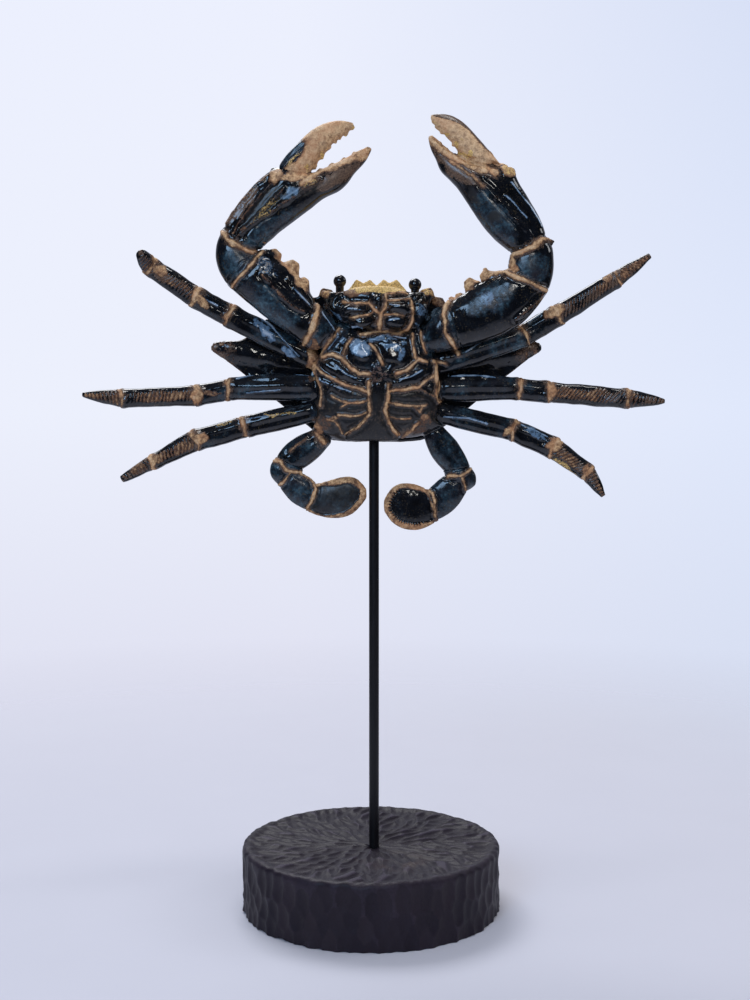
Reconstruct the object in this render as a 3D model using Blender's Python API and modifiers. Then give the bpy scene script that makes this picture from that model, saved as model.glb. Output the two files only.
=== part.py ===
"""Glazed ceramic blue swimming crab, held up on a steel rod in a carved round base.

The crab stands head up, with its underside towards -Y and its back towards +Y.
X runs across it and Z up. The origin is the middle of the base's underside.
Lengths in the tables and constants are in millimetres, and MM turns them into metres.
A flat figure lies in the XZ plane, so its points are pairs (x, z).
"""
import math
from collections import namedtuple

import bmesh
import bpy
from mathutils import Matrix, Vector

MM = 0.001
GAP = 0.3                     # left between pieces that touch

# The stand
BASE_RADIUS = 65.0
BASE_HEIGHT = 33.0
BASE_DISH = 1.5               # how far the top sinks towards its middle
BASE_EDGE = 1.6
BASE_STEPS = 48
ROD_X = 1.5
ROD_RADIUS = 2.5
ROD_FOOT = 12.0               # how high the rod's foot sits inside the base
ROD_TOP = 247.0
SOCKET_RADIUS = 2.8

# The body
BODY_X = 3.5                  # its middle plane
SHELL_X = 2.8                 # the middle of the back shell, a little off it
SPLIT_Y = 4.0                 # where the back shell meets the underside
SHELL_RIM = 3.2
SHELL_TOP_Y = 19.5
SHELL_MID_Z = 277.0
BROW_Z = 317.9
BROW_TOOTH = 3.2
BROW_PITCH = 6.7
SIDE_TEETH = 7
SIDE_TOOTH = 2.6
SIDE_BULGE = 3.0
# These are (distance from the shell's middle plane, z).
ORBIT_TOOTH = ((22.4, 313.1), (26.9, 314.0), (28.0, 312.8))
SIDE_START = (32.8, 309.2)
SIDE_END = (65.0, 290.0)
SPINE_TIP = (81.6, 284.7)
REAR_Z = 237.9
CHEST_CENTRE = Vector((BODY_X, 2.0, 268.0))
CHEST_RADII = Vector((50.0, 16.0, 44.0))
FACE_CENTRE = Vector((BODY_X, 3.0, 297.0))
FACE_RADII = Vector((38.0, 15.5, 25.0))
ABDOMEN_RISE = 1.9
EYE_RADIUS = 3.2
EYE_FOOT_Z = 311.8
EYES = {"right": (-15.5, 317.3), "left": (21.9, 315.6)}

LIMB_SIDES = 12
LIMB_ROUNDNESS = 0.86         # under 1 squares a section off a little

# Every joint of a limb, from the body to the tip: its middle x, y and z, the width and
# the depth there, and the angle of the joint line in the XZ plane. Without an angle the
# line halves the bend. The crab's right side is at -X.
CHELIPED_RIGHT = (
    (-20.0, -6.0, 290.2, 15.0, 12.5, -112),
    (-29.3, -8.5, 294.8, 21.1, 15.0, -107),
    (-62.8, -9.0, 323.0, 22.5, 16.0, -134),
    (-63.2, -9.0, 337.3, 20.2, 15.0, -210),
    (-34.6, -8.5, 364.1, 27.0, 15.0, -211),
    (-23.8, -8.0, 363.4, 13.7, 12.5, -220),
    (-11.6, -7.0, 371.8, 8.4, 8.0, -224),
    (-0.7, -6.0, 381.4, 2.0, 2.0, -208),
)
FINGER_RIGHT = (
    (-37.2, -8.5, 370.4, 15.0, 12.0, 168),
    (-23.9, -7.5, 386.7, 12.1, 9.5, 163),
    (-8.7, -6.0, 392.4, 1.9, 1.8, 112),
)
CHELIPED_LEFT = (
    (25.9, -6.0, 286.8, 11.4, 12.0, -82),
    (41.0, -8.5, 295.6, 23.9, 15.0, -79),
    (77.3, -9.0, 317.1, 21.7, 16.0, -30),
    (77.8, -9.0, 333.9, 18.0, 15.0, 26),
    (55.5, -8.5, 366.4, 28.0, 15.5, 17),
    (43.3, -8.0, 369.7, 12.4, 12.0, 34),
    (35.2, -7.0, 377.8, 7.0, 7.0, 30),
    (29.2, -6.0, 387.0, 1.6, 1.8, 18),
)
FINGER_LEFT = (
    (54.6, -8.5, 374.6, 17.6, 12.0, -12),
    (42.7, -7.5, 388.8, 13.4, 9.5, 0),
    (29.8, -6.0, 396.5, 1.6, 1.6, 62),
)
LEG_1_RIGHT = (
    (-27.4, -1.0, 277.6, 9.0, 7.0, None),
    (-70.8, 0.5, 300.6, 10.6, 7.4, None),
    (-87.2, -0.5, 309.4, 10.4, 7.2, None),
    (-109.8, -2.0, 324.6, 9.0, 6.6, None),
    (-112.8, -10.0, 330.0, 4.4, 4.0, None),
)
LEG_2_RIGHT = (
    (-26.6, -1.2, 263.8, 10.8, 7.4, None),
    (-70.8, 0.5, 263.5, 10.2, 7.2, None),
    (-87.5, -0.5, 260.5, 9.8, 6.8, None),
    (-124.4, -3.0, 259.2, 8.6, 5.8, None),
    (-143.0, -5.5, 261.0, 1.6, 1.6, None),
)
LEG_3_RIGHT = (
    (-27.7, -1.2, 253.0, 9.8, 7.2, None),
    (-62.7, 0.5, 244.9, 10.4, 7.2, None),
    (-87.3, -0.5, 238.3, 10.8, 6.8, None),
    (-109.2, -3.0, 227.4, 6.6, 5.4, None),
    (-124.2, -5.0, 219.0, 3.0, 2.4, None),
)
LEG_1_LEFT = (
    (33.2, -1.0, 275.8, 9.4, 7.0, None),
    (75.9, 0.5, 290.4, 10.6, 7.4, None),
    (92.2, -0.5, 299.9, 10.2, 7.0, None),
    (121.7, -2.5, 318.1, 7.8, 5.8, None),
    (137.6, -5.0, 329.5, 2.4, 2.0, None),
)
LEG_2_LEFT = (
    (33.2, -1.2, 263.2, 10.8, 7.4, None),
    (73.8, 0.5, 263.7, 10.6, 7.2, None),
    (88.6, -0.5, 262.2, 10.2, 7.0, None),
    (127.7, -3.0, 259.0, 9.2, 6.0, None),
    (145.8, -5.5, 257.8, 1.8, 1.6, None),
)
LEG_3_LEFT = (
    (33.4, -1.2, 252.2, 9.6, 7.2, None),
    (70.5, 0.5, 243.5, 10.4, 7.2, None),
    (91.0, -0.5, 234.5, 10.8, 6.8, None),
    (108.7, -3.0, 222.0, 7.8, 5.6, None),
    (116.0, -5.0, 210.4, 2.4, 2.0, None),
)
SWIMMER_RIGHT = (
    (-24.5, -1.2, 240.4, 11.5, 8.6, 150),
    (-40.8, -0.6, 226.7, 14.6, 8.0, 154),
    (-40.8, -0.6, 219.4, 13.0, 7.0, 206),
    (-30.1, -1.2, 209.6, 12.5, 5.0, 249),
    (-3.0, -2.0, 211.7, 4.7, 2.4, 270),
)
SWIMMER_LEFT = (
    (31.2, -1.2, 242.5, 11.0, 8.6, 29),
    (43.1, -0.6, 224.0, 13.5, 8.0, 9),
    (42.9, -0.6, 217.0, 13.5, 7.0, -35),
    (31.0, -1.2, 205.9, 15.1, 5.0, -71),
    (7.1, -2.0, 205.4, 5.7, 2.4, -88),
)

# A span between two joints: how much wider than a straight taper its sections are, evenly
# spaced along it, and how far its middle bows along the joint line.
Span = namedtuple("Span", "swell bow")
ISCHIUM = Span((1.5,), 0.0)
MERUS_RIGHT = Span((2.1, 4.6, 4.7, 3.5), -1.8)
MERUS_LEFT = Span((1.3, 4.7, 5.3, 3.4), 3.6)
CARPUS_RIGHT = Span((-0.6, -0.8, -0.6), 3.4)
CARPUS_LEFT = Span((1.9, 2.2, 2.4), 1.2)
PALM_RIGHT = Span((1.6, 2.6, 3.3, 3.0), 1.8)
PALM_LEFT = Span((4.0, 4.4, 3.1, 1.0), -0.8)
KNUCKLE = Span((), 0.0)
FIXED_FINGER = Span((1.5, 1.2), -0.6)
FIXED_FINGER_END = Span((0.8, 0.9), -0.4)
FINGER_FOOT_RIGHT = Span((0.6, 0.9), 0.9)
FINGER_END_RIGHT = Span((1.2, 1.9, 2.1), 1.5)
FINGER_FOOT_LEFT = Span((0.0, -0.4), 0.0)
FINGER_END_LEFT = Span((1.9, 2.6, 2.2), 1.1)
LEG_MERUS = Span((0.8, 0.9, 0.8), 0.0)
LEG_2_MERUS = Span((2.6, 2.4, 1.2), 0.9)
LEG_CARPUS = Span((0.6, 0.6), 0.0)
LEG_PROPODUS = Span((0.4, 0.3), 0.0)
LEG_DACTYL = Span((0.7, 0.9), 0.0)
SWIM_MERUS_RIGHT = Span((3.1, 3.8, 3.0), 0.7)
SWIM_MERUS_LEFT = Span((2.1, 3.2, 2.6), 0.0)
SWIM_CARPUS = Span((3.0, 3.0), 2.2)
SWIM_PROPODUS = Span((2.0, 2.5), 1.0)
PADDLE_RIGHT = Span((4.6, 8.5, 11.6, 12.6, 10.2), 1.2)
PADDLE_LEFT = Span((5.8, 10.7, 12.9, 13.0, 10.3), 0.5)
SWELL_IN_DEPTH = 0.35         # the share of a swell that a section's depth takes

# An outgrowth of a limb span: where along it, on which edge, how far it stands out of
# that edge, the radius of its foot, and its lean along the limb.
Thorn = namedtuple("Thorn", "along edge height radius lean")
MERUS_TEETH_RIGHT = (Thorn(0.30, -1, 2.4, 5.0, -0.8), Thorn(0.54, -1, 4.0, 7.0, -0.8),
                     Thorn(0.82, -1, 3.3, 7.0, -0.6))
MERUS_TEETH_LEFT = (Thorn(0.17, -1, 1.6, 4.6, -0.4), Thorn(0.41, -1, 5.0, 6.2, -1.0),
                    Thorn(0.69, -1, 4.6, 6.8, -1.0))
MERUS_TOOTH_TIP = 0.26        # a merus tooth's tip radius, as a share of its foot's
CARPUS_THORN_LEFT = (Thorn(0.86, 1, 2.0, 1.9, 0.6),)
PALM_THORN_LEFT = (Thorn(0.96, 1, 0.8, 3.2, 1.5),)
PALM_THORN_RIGHT = (Thorn(0.95, 1, 0.8, 3.0, 1.0),)
# The low knobs along a finger's inner edge: how many, how high, and the foot's radius.
Gape = namedtuple("Gape", "count height radius")
FIXED_GAPE_RIGHT = Gape(4, 0.8, 2.5)
FINGER_GAPE_RIGHT = Gape(6, 0.9, 2.1)
FIXED_GAPE_LEFT = Gape(4, 0.3, 2.2)
FINGER_GAPE_LEFT = Gape(5, 0.5, 2.2)
GAPE_TIP = 0.45
THORN_FLATNESS = 0.62         # a thorn's thickness across the limb, as a share of its width

GLAZE = ((0.020, 0.032, 0.045), 0.16, 0.0)
BARE_CLAY = ((0.42, 0.28, 0.17), 0.55, 0.0)
EYE_GLAZE = ((0.010, 0.010, 0.012), 0.08, 0.0)
BLACK_STEEL = ((0.012, 0.012, 0.016), 0.35, 0.6)
DARK_WOOD = ((0.024, 0.021, 0.028), 0.62, 0.0)

Joint = namedtuple("Joint", "centre side deep width depth")


def clear_scene():
    for thing in list(bpy.data.objects):
        bpy.data.objects.remove(thing, do_unlink=True)


def new_collection(name):
    collection = bpy.data.collections.new(name)
    bpy.context.scene.collection.children.link(collection)
    return collection


def make_material(name, finish):
    colour, roughness, metallic = finish
    material = bpy.data.materials.new(name)
    material.use_nodes = True
    shader = material.node_tree.nodes["Principled BSDF"]
    shader.inputs["Base Color"].default_value = (*colour, 1.0)
    shader.inputs["Roughness"].default_value = roughness
    shader.inputs["Metallic"].default_value = metallic
    material.diffuse_color = (*colour, 1.0)
    return material


def place(name, shape, collection, finish=GLAZE, smooth_angle=50.0):
    """Turn a bmesh in millimetres into an object in metres."""
    bmesh.ops.scale(shape, vec=(MM, MM, MM), verts=shape.verts)
    bmesh.ops.recalc_face_normals(shape, faces=shape.faces)
    mesh = bpy.data.meshes.new(name)
    shape.to_mesh(mesh)
    shape.free()
    mesh.materials.append(make_material(name, finish))
    mesh.shade_smooth()
    mesh.set_sharp_from_angle(angle=math.radians(smooth_angle))
    thing = bpy.data.objects.new(name, mesh)
    collection.objects.link(thing)
    return thing


def hide_tool(thing):
    thing.hide_render = True
    thing.display_type = "WIRE"


def combine(thing, tool, operation):
    """Cut a piece with a tool, or join the tool to it."""
    hide_tool(tool)
    modifier = thing.modifiers.new(operation.title() + " " + tool.name, "BOOLEAN")
    modifier.operation = operation
    modifier.object = tool


def skin_rings(rings):
    """Close a solid over rings of points that all have the same number of points."""
    shape = bmesh.new()
    loops = [[shape.verts.new(point) for point in ring] for ring in rings]
    count = len(loops[0])
    for lower, upper in zip(loops, loops[1:]):
        for i in range(count):
            j = (i + 1) % count
            shape.faces.new((lower[i], lower[j], upper[j], upper[i]))
    shape.faces.new(list(reversed(loops[0])))
    shape.faces.new(loops[-1])
    return shape


def xz(pair, y):
    return Vector((pair[0], y, pair[1]))


def shrink(outline, centre, scale):
    return [(centre[0] + (x - centre[0]) * scale, centre[1] + (z - centre[1]) * scale)
            for x, z in outline]


# ---- limbs ---------------------------------------------------------------------------

def limb_joints(rows):
    """Give each joint of a limb its centre, its two section directions and its size."""
    centres = [Vector(row[:3]) for row in rows]
    steps = [(b - a).normalized() for a, b in zip(centres, centres[1:])]
    steps = [steps[0]] + steps + [steps[-1]]
    joints = []
    for row, centre, before, after in zip(rows, centres, steps, steps[1:]):
        axis = (before + after).normalized()
        if row[5] is None:
            side = axis.cross(Vector((0, 1, 0))).normalized()
            side *= math.copysign(1.0, side.z)
        else:
            side = Vector((math.cos(math.radians(row[5])), 0, math.sin(math.radians(row[5]))))
        deep = side.cross(axis).normalized()
        joints.append(Joint(centre, side, deep, row[3], row[4]))
    return joints


def turned(start, end, along):
    """Blend two directions as a steady turn."""
    return start.slerp(end, along) if start.angle(end) > 0.001 else start.copy()


def section_at(a, b, span, along, swell=0.0):
    """A limb's section part of the way from joint a to joint b."""
    side = turned(a.side, b.side, along)
    bow = side * span.bow * 4 * along * (1 - along)
    deep = turned(a.deep, b.deep, along)
    width = a.width + (b.width - a.width) * along
    depth = a.depth + (b.depth - a.depth) * along
    return Joint(a.centre.lerp(b.centre, along) + bow, side, deep, width + swell,
                 depth * (1 + SWELL_IN_DEPTH * swell / width))


def span_sections(a, b, span):
    count = len(span.swell) + 1
    return [section_at(a, b, span, (i + 1) / count, swell) for i, swell in enumerate(span.swell)]


def swell_at(span, along):
    """A span's swell between its own sections."""
    steps = (0.0,) + span.swell + (0.0,)
    place_on = along * (len(steps) - 1)
    low = min(int(place_on), len(steps) - 2)
    return steps[low] + (steps[low + 1] - steps[low]) * (place_on - low)


def section_points(section, sides=LIMB_SIDES):
    points = []
    for i in range(sides):
        angle = 2 * math.pi * (i + 0.5) / sides
        across, down = math.cos(angle), math.sin(angle)
        across = math.copysign(abs(across) ** LIMB_ROUNDNESS, across)
        down = math.copysign(abs(down) ** LIMB_ROUNDNESS, down)
        points.append(section.centre + section.side * across * section.width / 2
                      + section.deep * down * section.depth / 2)
    return points


def moved(section, distance):
    normal = section.deep.cross(section.side).normalized()
    return section._replace(centre=section.centre + normal * distance)


def limb_rings(joints, spans):
    """The sections of one piece, drawn in by half a gap at both its ends."""
    sections = [moved(joints[0], GAP / 2)]
    for a, b, span in zip(joints, joints[1:], spans):
        sections += span_sections(a, b, span)
        sections.append(b)
    sections[-1] = moved(sections[-1], -GAP / 2)
    return [section_points(section) for section in sections]


def thorn_cones(joints, span, thorns, tip_share=0.12):
    """Cones that stand on the edge of a span."""
    a, b = joints
    axis = (b.centre - a.centre).normalized()
    shape = bmesh.new()
    for thorn in thorns:
        section = section_at(a, b, span, thorn.along, swell_at(span, thorn.along))
        out = section.side * thorn.edge
        foot = section.centre + out * (section.width / 2 - thorn.radius * 0.5)
        tip = section.centre + out * (section.width / 2 + thorn.height) + axis * thorn.lean
        add_cone(shape, foot, tip, thorn.radius, 8, tip_share)
    return shape


def add_cone(shape, foot, tip, radius, segments, tip_share):
    direction = tip - foot
    turn = Vector((0, 0, 1)).rotation_difference(direction).to_matrix().to_4x4()
    flat = Matrix.Diagonal((1, THORN_FLATNESS, 1, 1))
    bmesh.ops.create_cone(shape, cap_ends=True, segments=segments, radius1=radius,
                          radius2=radius * tip_share, depth=direction.length,
                          matrix=Matrix.Translation((foot + tip) / 2) @ turn @ flat)


def add_gape(piece, joints, spans, edge, gape, tools):
    """Low blunt knobs along the inner edge of a claw's finger."""
    reach = len(spans)
    for i in range(gape.count):
        place_on = (i + 0.7) / (gape.count + 0.9) * reach
        index = min(int(place_on), reach - 1)
        span, along = spans[index], place_on - index
        section = section_at(joints[index], joints[index + 1], span, along, swell_at(span, along))
        out = section.side * edge
        height = gape.height * (1.2 if i % 3 == 1 else 1.0)
        radius = min(gape.radius, section.depth * 0.36, section.width * 0.4)
        foot = section.centre + out * (section.width / 2 - radius)
        tip = section.centre + out * (section.width / 2 + height)
        shape = bmesh.new()
        add_cone(shape, foot, tip, radius, 6, GAPE_TIP)
        add_growths(piece, shape, tools, "knob_%d" % i)


def limb_piece(name, joints, spans, parts, finish=GLAZE):
    return place(name, skin_rings(limb_rings(joints, spans)), parts, finish)


def add_growths(piece, shape, tools, label):
    combine(piece, place(piece.name + "_" + label, shape, tools), "UNION")


def cheliped(side, rows, finger_rows, spans, finger_spans, teeth, parts, tools):
    """One claw arm: ischium, merus, carpus, palm with its fixed finger, and the finger."""
    joints = limb_joints(rows)
    merus_span, carpus_span, palm_span = spans
    merus_teeth, carpus_thorns, palm_thorns, fixed_gape, finger_gape = teeth
    limb_piece("cheliped_ischium_" + side, joints[0:2], [ISCHIUM], parts)
    merus = limb_piece("cheliped_merus_" + side, joints[1:3], [merus_span], parts)
    teeth_cones = thorn_cones(joints[1:3], merus_span, merus_teeth, MERUS_TOOTH_TIP)
    add_growths(merus, teeth_cones, tools, "teeth")
    carpus = limb_piece("cheliped_carpus_" + side, joints[2:4], [carpus_span], parts)
    if carpus_thorns:
        add_growths(carpus, thorn_cones(joints[2:4], carpus_span, carpus_thorns), tools, "thorn")
    palm_spans = [palm_span, KNUCKLE, FIXED_FINGER, FIXED_FINGER_END]
    palm = limb_piece("cheliped_palm_" + side, joints[3:8], palm_spans, parts)
    add_growths(palm, thorn_cones(joints[3:5], palm_span, palm_thorns), tools, "knob")
    add_gape(palm, joints[5:8], palm_spans[2:], 1, fixed_gape, tools)
    finger_joints = limb_joints(finger_rows)
    finger = limb_piece("cheliped_finger_" + side, finger_joints, finger_spans, parts, BARE_CLAY)
    add_gape(finger, finger_joints, finger_spans, -1, finger_gape, tools)


def walking_leg(name, rows, merus_span, parts):
    joints = limb_joints(rows)
    names = ("merus", "carpus", "propodus", "dactyl")
    spans = (merus_span, LEG_CARPUS, LEG_PROPODUS, LEG_DACTYL)
    for i, (piece, span) in enumerate(zip(names, spans)):
        limb_piece(name.replace("leg", "leg_" + piece), joints[i:i + 2], [span], parts)


def swimming_leg(side, rows, merus_span, paddle_span, parts):
    joints = limb_joints(rows)
    names = ("merus", "carpus", "propodus", "paddle")
    spans = (merus_span, SWIM_CARPUS, SWIM_PROPODUS, paddle_span)
    for i, (piece, span) in enumerate(zip(names, spans)):
        limb_piece("swimmer_" + piece + "_" + side, joints[i:i + 2], [span], parts)


# ---- body ----------------------------------------------------------------------------

def bulge(centre, radii, point):
    """The y of an ellipsoid's front at a point (x, z), or its middle y outside it."""
    across = ((point[0] - centre.x) / radii.x) ** 2 + ((point[1] - centre.z) / radii.z) ** 2
    return centre.y - radii.y * math.sqrt(max(0.0, 1.0 - across))


def pillow(outline, back_y, centre, radii, levels):
    """A flat-backed solid whose front follows an ellipsoid, over a star-shaped outline.

    Each level is the outline's scale and how far its points have come forward from the
    back towards the ellipsoid.
    """
    middle = (sum(x for x, z in outline) / len(outline), sum(z for x, z in outline) / len(outline))
    rings = [[xz(point, back_y) for point in outline]]
    for scale, rise in levels:
        ring = shrink(outline, middle, scale)
        rings.append([xz(p, back_y + (bulge(centre, radii, p) - back_y) * rise) for p in ring])
    return skin_rings(rings)


def socket_edge(row, flip):
    """The outline's edge at a limb's root, a gap inside the root's own plane."""
    root = moved(limb_joints(row)[0], -GAP / 2)
    reach = root.side * root.width / 2 * flip
    return [((root.centre - reach).x, (root.centre - reach).z),
            ((root.centre + reach).x, (root.centre + reach).z)]


def chest_outline():
    """The breast plate's outline, with one straight edge for every limb."""
    right = []
    for rows, flip in ((CHELIPED_RIGHT, 1), (LEG_1_RIGHT, 1), (LEG_2_RIGHT, 1),
                       (LEG_3_RIGHT, 1), (SWIMMER_RIGHT, -1)):
        right += top_first(socket_edge(rows, flip))
    left = []
    for rows, flip in ((CHELIPED_LEFT, 1), (LEG_1_LEFT, 1), (LEG_2_LEFT, 1),
                       (LEG_3_LEFT, 1), (SWIMMER_LEFT, 1)):
        left += top_first(socket_edge(rows, flip))
    top = [(15.0, 291.0), (-6.0, 291.0)]
    return top + right + list(reversed(left))


def top_first(edge):
    return sorted(edge, key=lambda point: -point[1])


def half_shell(teeth, spine):
    """Half of the back shell's outline, from the brow's middle round to the rear.

    Points are (distance from the middle plane, z). teeth and spine scale those features,
    so that the same points also give the smooth outline inside the toothed one.
    """
    brow_low = BROW_Z - BROW_TOOTH
    orbit_z = 310.0 + 4.0 * (1 - teeth)
    half = [(0.0, brow_low)]
    for i in (0.5, 1.5):
        half.append((i * BROW_PITCH, brow_low + BROW_TOOTH * teeth))
        half.append(((i + 0.5) * BROW_PITCH, brow_low + (1.2 if i < 1 else -1.7) * teeth))
    half += [(18.5, orbit_z), (21.4, orbit_z), *ORBIT_TOOTH, (28.8, 309.6)]
    for i in range(2 * SIDE_TEETH - 1):
        along = i / (2 * SIDE_TEETH - 2)
        out = SIDE_BULGE * math.sin(math.pi * along) - SIDE_TOOTH * teeth * (i % 2)
        half.append((SIDE_START[0] + (SIDE_END[0] - SIDE_START[0]) * along + out * 0.5,
                     SIDE_START[1] + (SIDE_END[1] - SIDE_START[1]) * along + out * 0.87))
    tip_u, tip_z = SPINE_TIP
    reach = 12.0 * (1 - spine)
    half += [(tip_u - 14.0 - reach * 0.2, tip_z + 2.6), (tip_u - 3.6 - reach, tip_z + 2.3),
             (tip_u - 0.6 - reach, tip_z + 1.2), (tip_u - reach, tip_z - 0.8),
             (tip_u - 2.0 - reach, tip_z - 3.0)]
    half += [(66.0, 271.2), (56.5, 263.2), (47.0, 255.5), (36.0, 246.6), (27.0, 239.8),
             (22.0, REAR_Z), (9.0, REAR_Z - 0.3)]
    return half


def shell_outline(teeth, spine):
    half = half_shell(teeth, spine)
    right = [(SHELL_X - u, z) for u, z in half]
    left = [(SHELL_X + u, z) for u, z in half[1:]]
    return list(reversed(right)) + left


def carapace(parts):
    """The back shell: a toothed rim that rises to a smooth dome."""
    centre = (SHELL_X, SHELL_MID_Z)
    rim_y = SPLIT_Y + GAP / 2
    toothed = shell_outline(1.0, 1.0)
    smooth = shell_outline(0.0, 0.0)
    rings = [[xz(p, rim_y) for p in toothed], [xz(p, rim_y + SHELL_RIM) for p in toothed]]
    for scale, rise in ((0.95, 0.42), (0.84, 0.66), (0.66, 0.85), (0.42, 0.96), (0.15, 1.0)):
        y = rim_y + (SHELL_TOP_Y - rim_y) * rise
        rings.append([xz(p, y) for p in shrink(smooth, centre, scale)])
    place("carapace", skin_rings(rings), parts)


def thorax(parts, tools):
    """The breast plate, with the blind hole that takes the rod."""
    back_y = SPLIT_Y - GAP / 2
    levels = ((1.0, 0.72), (0.95, 0.96), (0.80, 1.0), (0.55, 1.0), (0.25, 1.0))
    outline = chest_outline()
    piece = place("thorax", pillow(outline, back_y, CHEST_CENTRE, CHEST_RADII, levels), parts)
    hole = bmesh.new()
    low = REAR_Z - 20.0
    bmesh.ops.create_cone(hole, cap_ends=True, segments=16, radius1=SOCKET_RADIUS,
                          radius2=SOCKET_RADIUS, depth=ROD_TOP + GAP - low,
                          matrix=Matrix.Translation((ROD_X, 0, (ROD_TOP + GAP + low) / 2)))
    combine(piece, place("rod_hole", hole, tools), "DIFFERENCE")
    forward = CHEST_CENTRE - Vector((0, GAP, 0))
    return place("thorax_cutter", pillow(outline, back_y, forward, CHEST_RADII, levels), tools)


def abdomen(chest_cutter, parts):
    """The narrow tail plate, folded up over the breast plate."""
    right = [(-0.6, 266.0), (-1.2, 258.0), (-1.0, 251.8), (-3.4, 246.4), (-12.0, 241.0),
             (-12.6, 238.6)]
    left = [(13.6, 238.6), (13.2, 241.0), (9.0, 246.4), (7.5, 251.8), (8.9, 258.0), (9.0, 266.0)]
    outline = [(4.2, 267.4)] + right + left
    raised = CHEST_CENTRE - Vector((0, ABDOMEN_RISE, 0))
    levels = ((1.0, 0.96), (0.90, 1.0), (0.45, 1.0))
    back_y = -6.4
    piece = place("abdomen", pillow(outline, back_y, raised, CHEST_RADII, levels), parts)
    combine(piece, chest_cutter, "DIFFERENCE")


def face(parts, tools):
    """The mouth frame between the brow and the breast plate."""
    right = [(-6.2, 291.4), (-16.6, 297.9), (-22.3, 304.8), (-24.4, 312.0), (-20.0, 310.8),
             (-12.0, 311.4), (-9.0, 313.4)]
    left = [(15.0, 313.4), (17.5, 311.2), (26.0, 310.6), (30.6, 312.0), (29.0, 304.8),
            (24.8, 293.2), (15.2, 291.4)]
    outline = right + [(3.0, 314.2)] + left
    back_y = SPLIT_Y - GAP / 2
    levels = ((1.0, 0.62), (0.93, 0.92), (0.75, 1.0), (0.45, 1.0), (0.18, 1.0))
    place("face", pillow(outline, back_y, FACE_CENTRE, FACE_RADII, levels), parts)
    forward = FACE_CENTRE - Vector((0, GAP, 0))
    return place("face_cutter", pillow(outline, back_y, forward, FACE_RADII, levels), tools)


def lobe(shape, centre, radii, turn=0.0):
    """An egg-shaped lump, turned in the XZ plane."""
    matrix = (Matrix.Translation(centre) @ Matrix.Rotation(math.radians(turn), 4, "Y")
              @ Matrix.Diagonal((*radii, 1.0)))
    bmesh.ops.create_uvsphere(shape, u_segments=12, v_segments=7, radius=1.0, matrix=matrix)


def mouth_parts(face_cutter, parts, tools):
    """Two-lobed outer mouthparts on each side, and the pair of folded antennules above."""
    for side, sign in (("right", -1), ("left", 1)):
        name = "maxilliped_" + side
        upper = bmesh.new()
        lobe(upper, (BODY_X + sign * 10.9, -11.6, 302.6), (6.6, 3.2, 3.0), 6 * sign)
        piece = place(name, upper, parts)
        lower = bmesh.new()
        lobe(lower, (BODY_X + sign * 8.2, -12.0, 297.2), (6.2, 3.2, 3.2), 14 * sign)
        combine(piece, place(name + "_lower", lower, tools), "UNION")
        combine(piece, face_cutter, "DIFFERENCE")
    middle = bmesh.new()
    lobe(middle, (BODY_X, -11.6, 304.6), (1.4, 2.4, 4.4))
    piece = place("antennules", middle, parts)
    for side, sign in (("right", -1), ("left", 1)):
        bud = bmesh.new()
        lobe(bud, (BODY_X + sign * 1.8, -11.2, 305.2), (2.0, 2.2, 3.2), -16 * sign)
        combine(piece, place("antennule_bud_" + side, bud, tools), "UNION")
    combine(piece, face_cutter, "DIFFERENCE")


def eyes(parts):
    """Each eye is one turned shape: a short stalk under a round ball."""
    for side, (x, z) in EYES.items():
        profile = [(EYE_FOOT_Z, 1.8), (z - EYE_RADIUS * 0.94, 1.9)]
        profile += [(z + EYE_RADIUS * math.sin(math.radians(a)),
                     EYE_RADIUS * math.cos(math.radians(a))) for a in (-50, -25, 0, 25, 50, 75)]
        rings = [[Vector((x + r * math.cos(t), 0.4 + r * math.sin(t), height))
                  for t in (2 * math.pi * i / 12 for i in range(12))] for height, r in profile]
        place("eye_" + side, skin_rings(rings), parts, EYE_GLAZE)


# ---- stand ---------------------------------------------------------------------------

def stand(parts, tools):
    """The turned base with a blind hole off its middle, and the rod that stands in it."""
    top = BASE_HEIGHT
    profile = [(0.0, top - BASE_DISH), (BASE_RADIUS * 0.6, top - BASE_DISH * 0.6),
               (BASE_RADIUS - BASE_EDGE, top), (BASE_RADIUS, top - BASE_EDGE),
               (BASE_RADIUS, BASE_EDGE), (BASE_RADIUS - BASE_EDGE, 0.0), (0.0, 0.0)]
    mesh = bpy.data.meshes.new("stand_base")
    mesh.from_pydata([(x * MM, 0, z * MM) for x, z in profile],
                     [(i, i + 1) for i in range(len(profile) - 1)], [])
    mesh.materials.append(make_material("stand_base", DARK_WOOD))
    base = bpy.data.objects.new("stand_base", mesh)
    parts.objects.link(base)
    screw = base.modifiers.new("Turn", "SCREW")
    screw.steps = BASE_STEPS
    screw.render_steps = BASE_STEPS
    screw.use_merge_vertices = True
    screw.merge_threshold = 0.0001
    screw.use_smooth_shade = False
    hole = bmesh.new()
    low = ROD_FOOT - GAP
    bmesh.ops.create_cone(hole, cap_ends=True, segments=16, radius1=SOCKET_RADIUS,
                          radius2=SOCKET_RADIUS, depth=top + 10.0 - low,
                          matrix=Matrix.Translation((ROD_X, 0, (top + 10.0 + low) / 2)))
    combine(base, place("base_hole", hole, tools), "DIFFERENCE")
    rod = bmesh.new()
    bmesh.ops.create_cone(rod, cap_ends=True, segments=16, radius1=ROD_RADIUS,
                          radius2=ROD_RADIUS, depth=ROD_TOP - ROD_FOOT,
                          matrix=Matrix.Translation((ROD_X, 0, (ROD_TOP + ROD_FOOT) / 2)))
    place("stand_rod", rod, parts, BLACK_STEEL)


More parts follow.
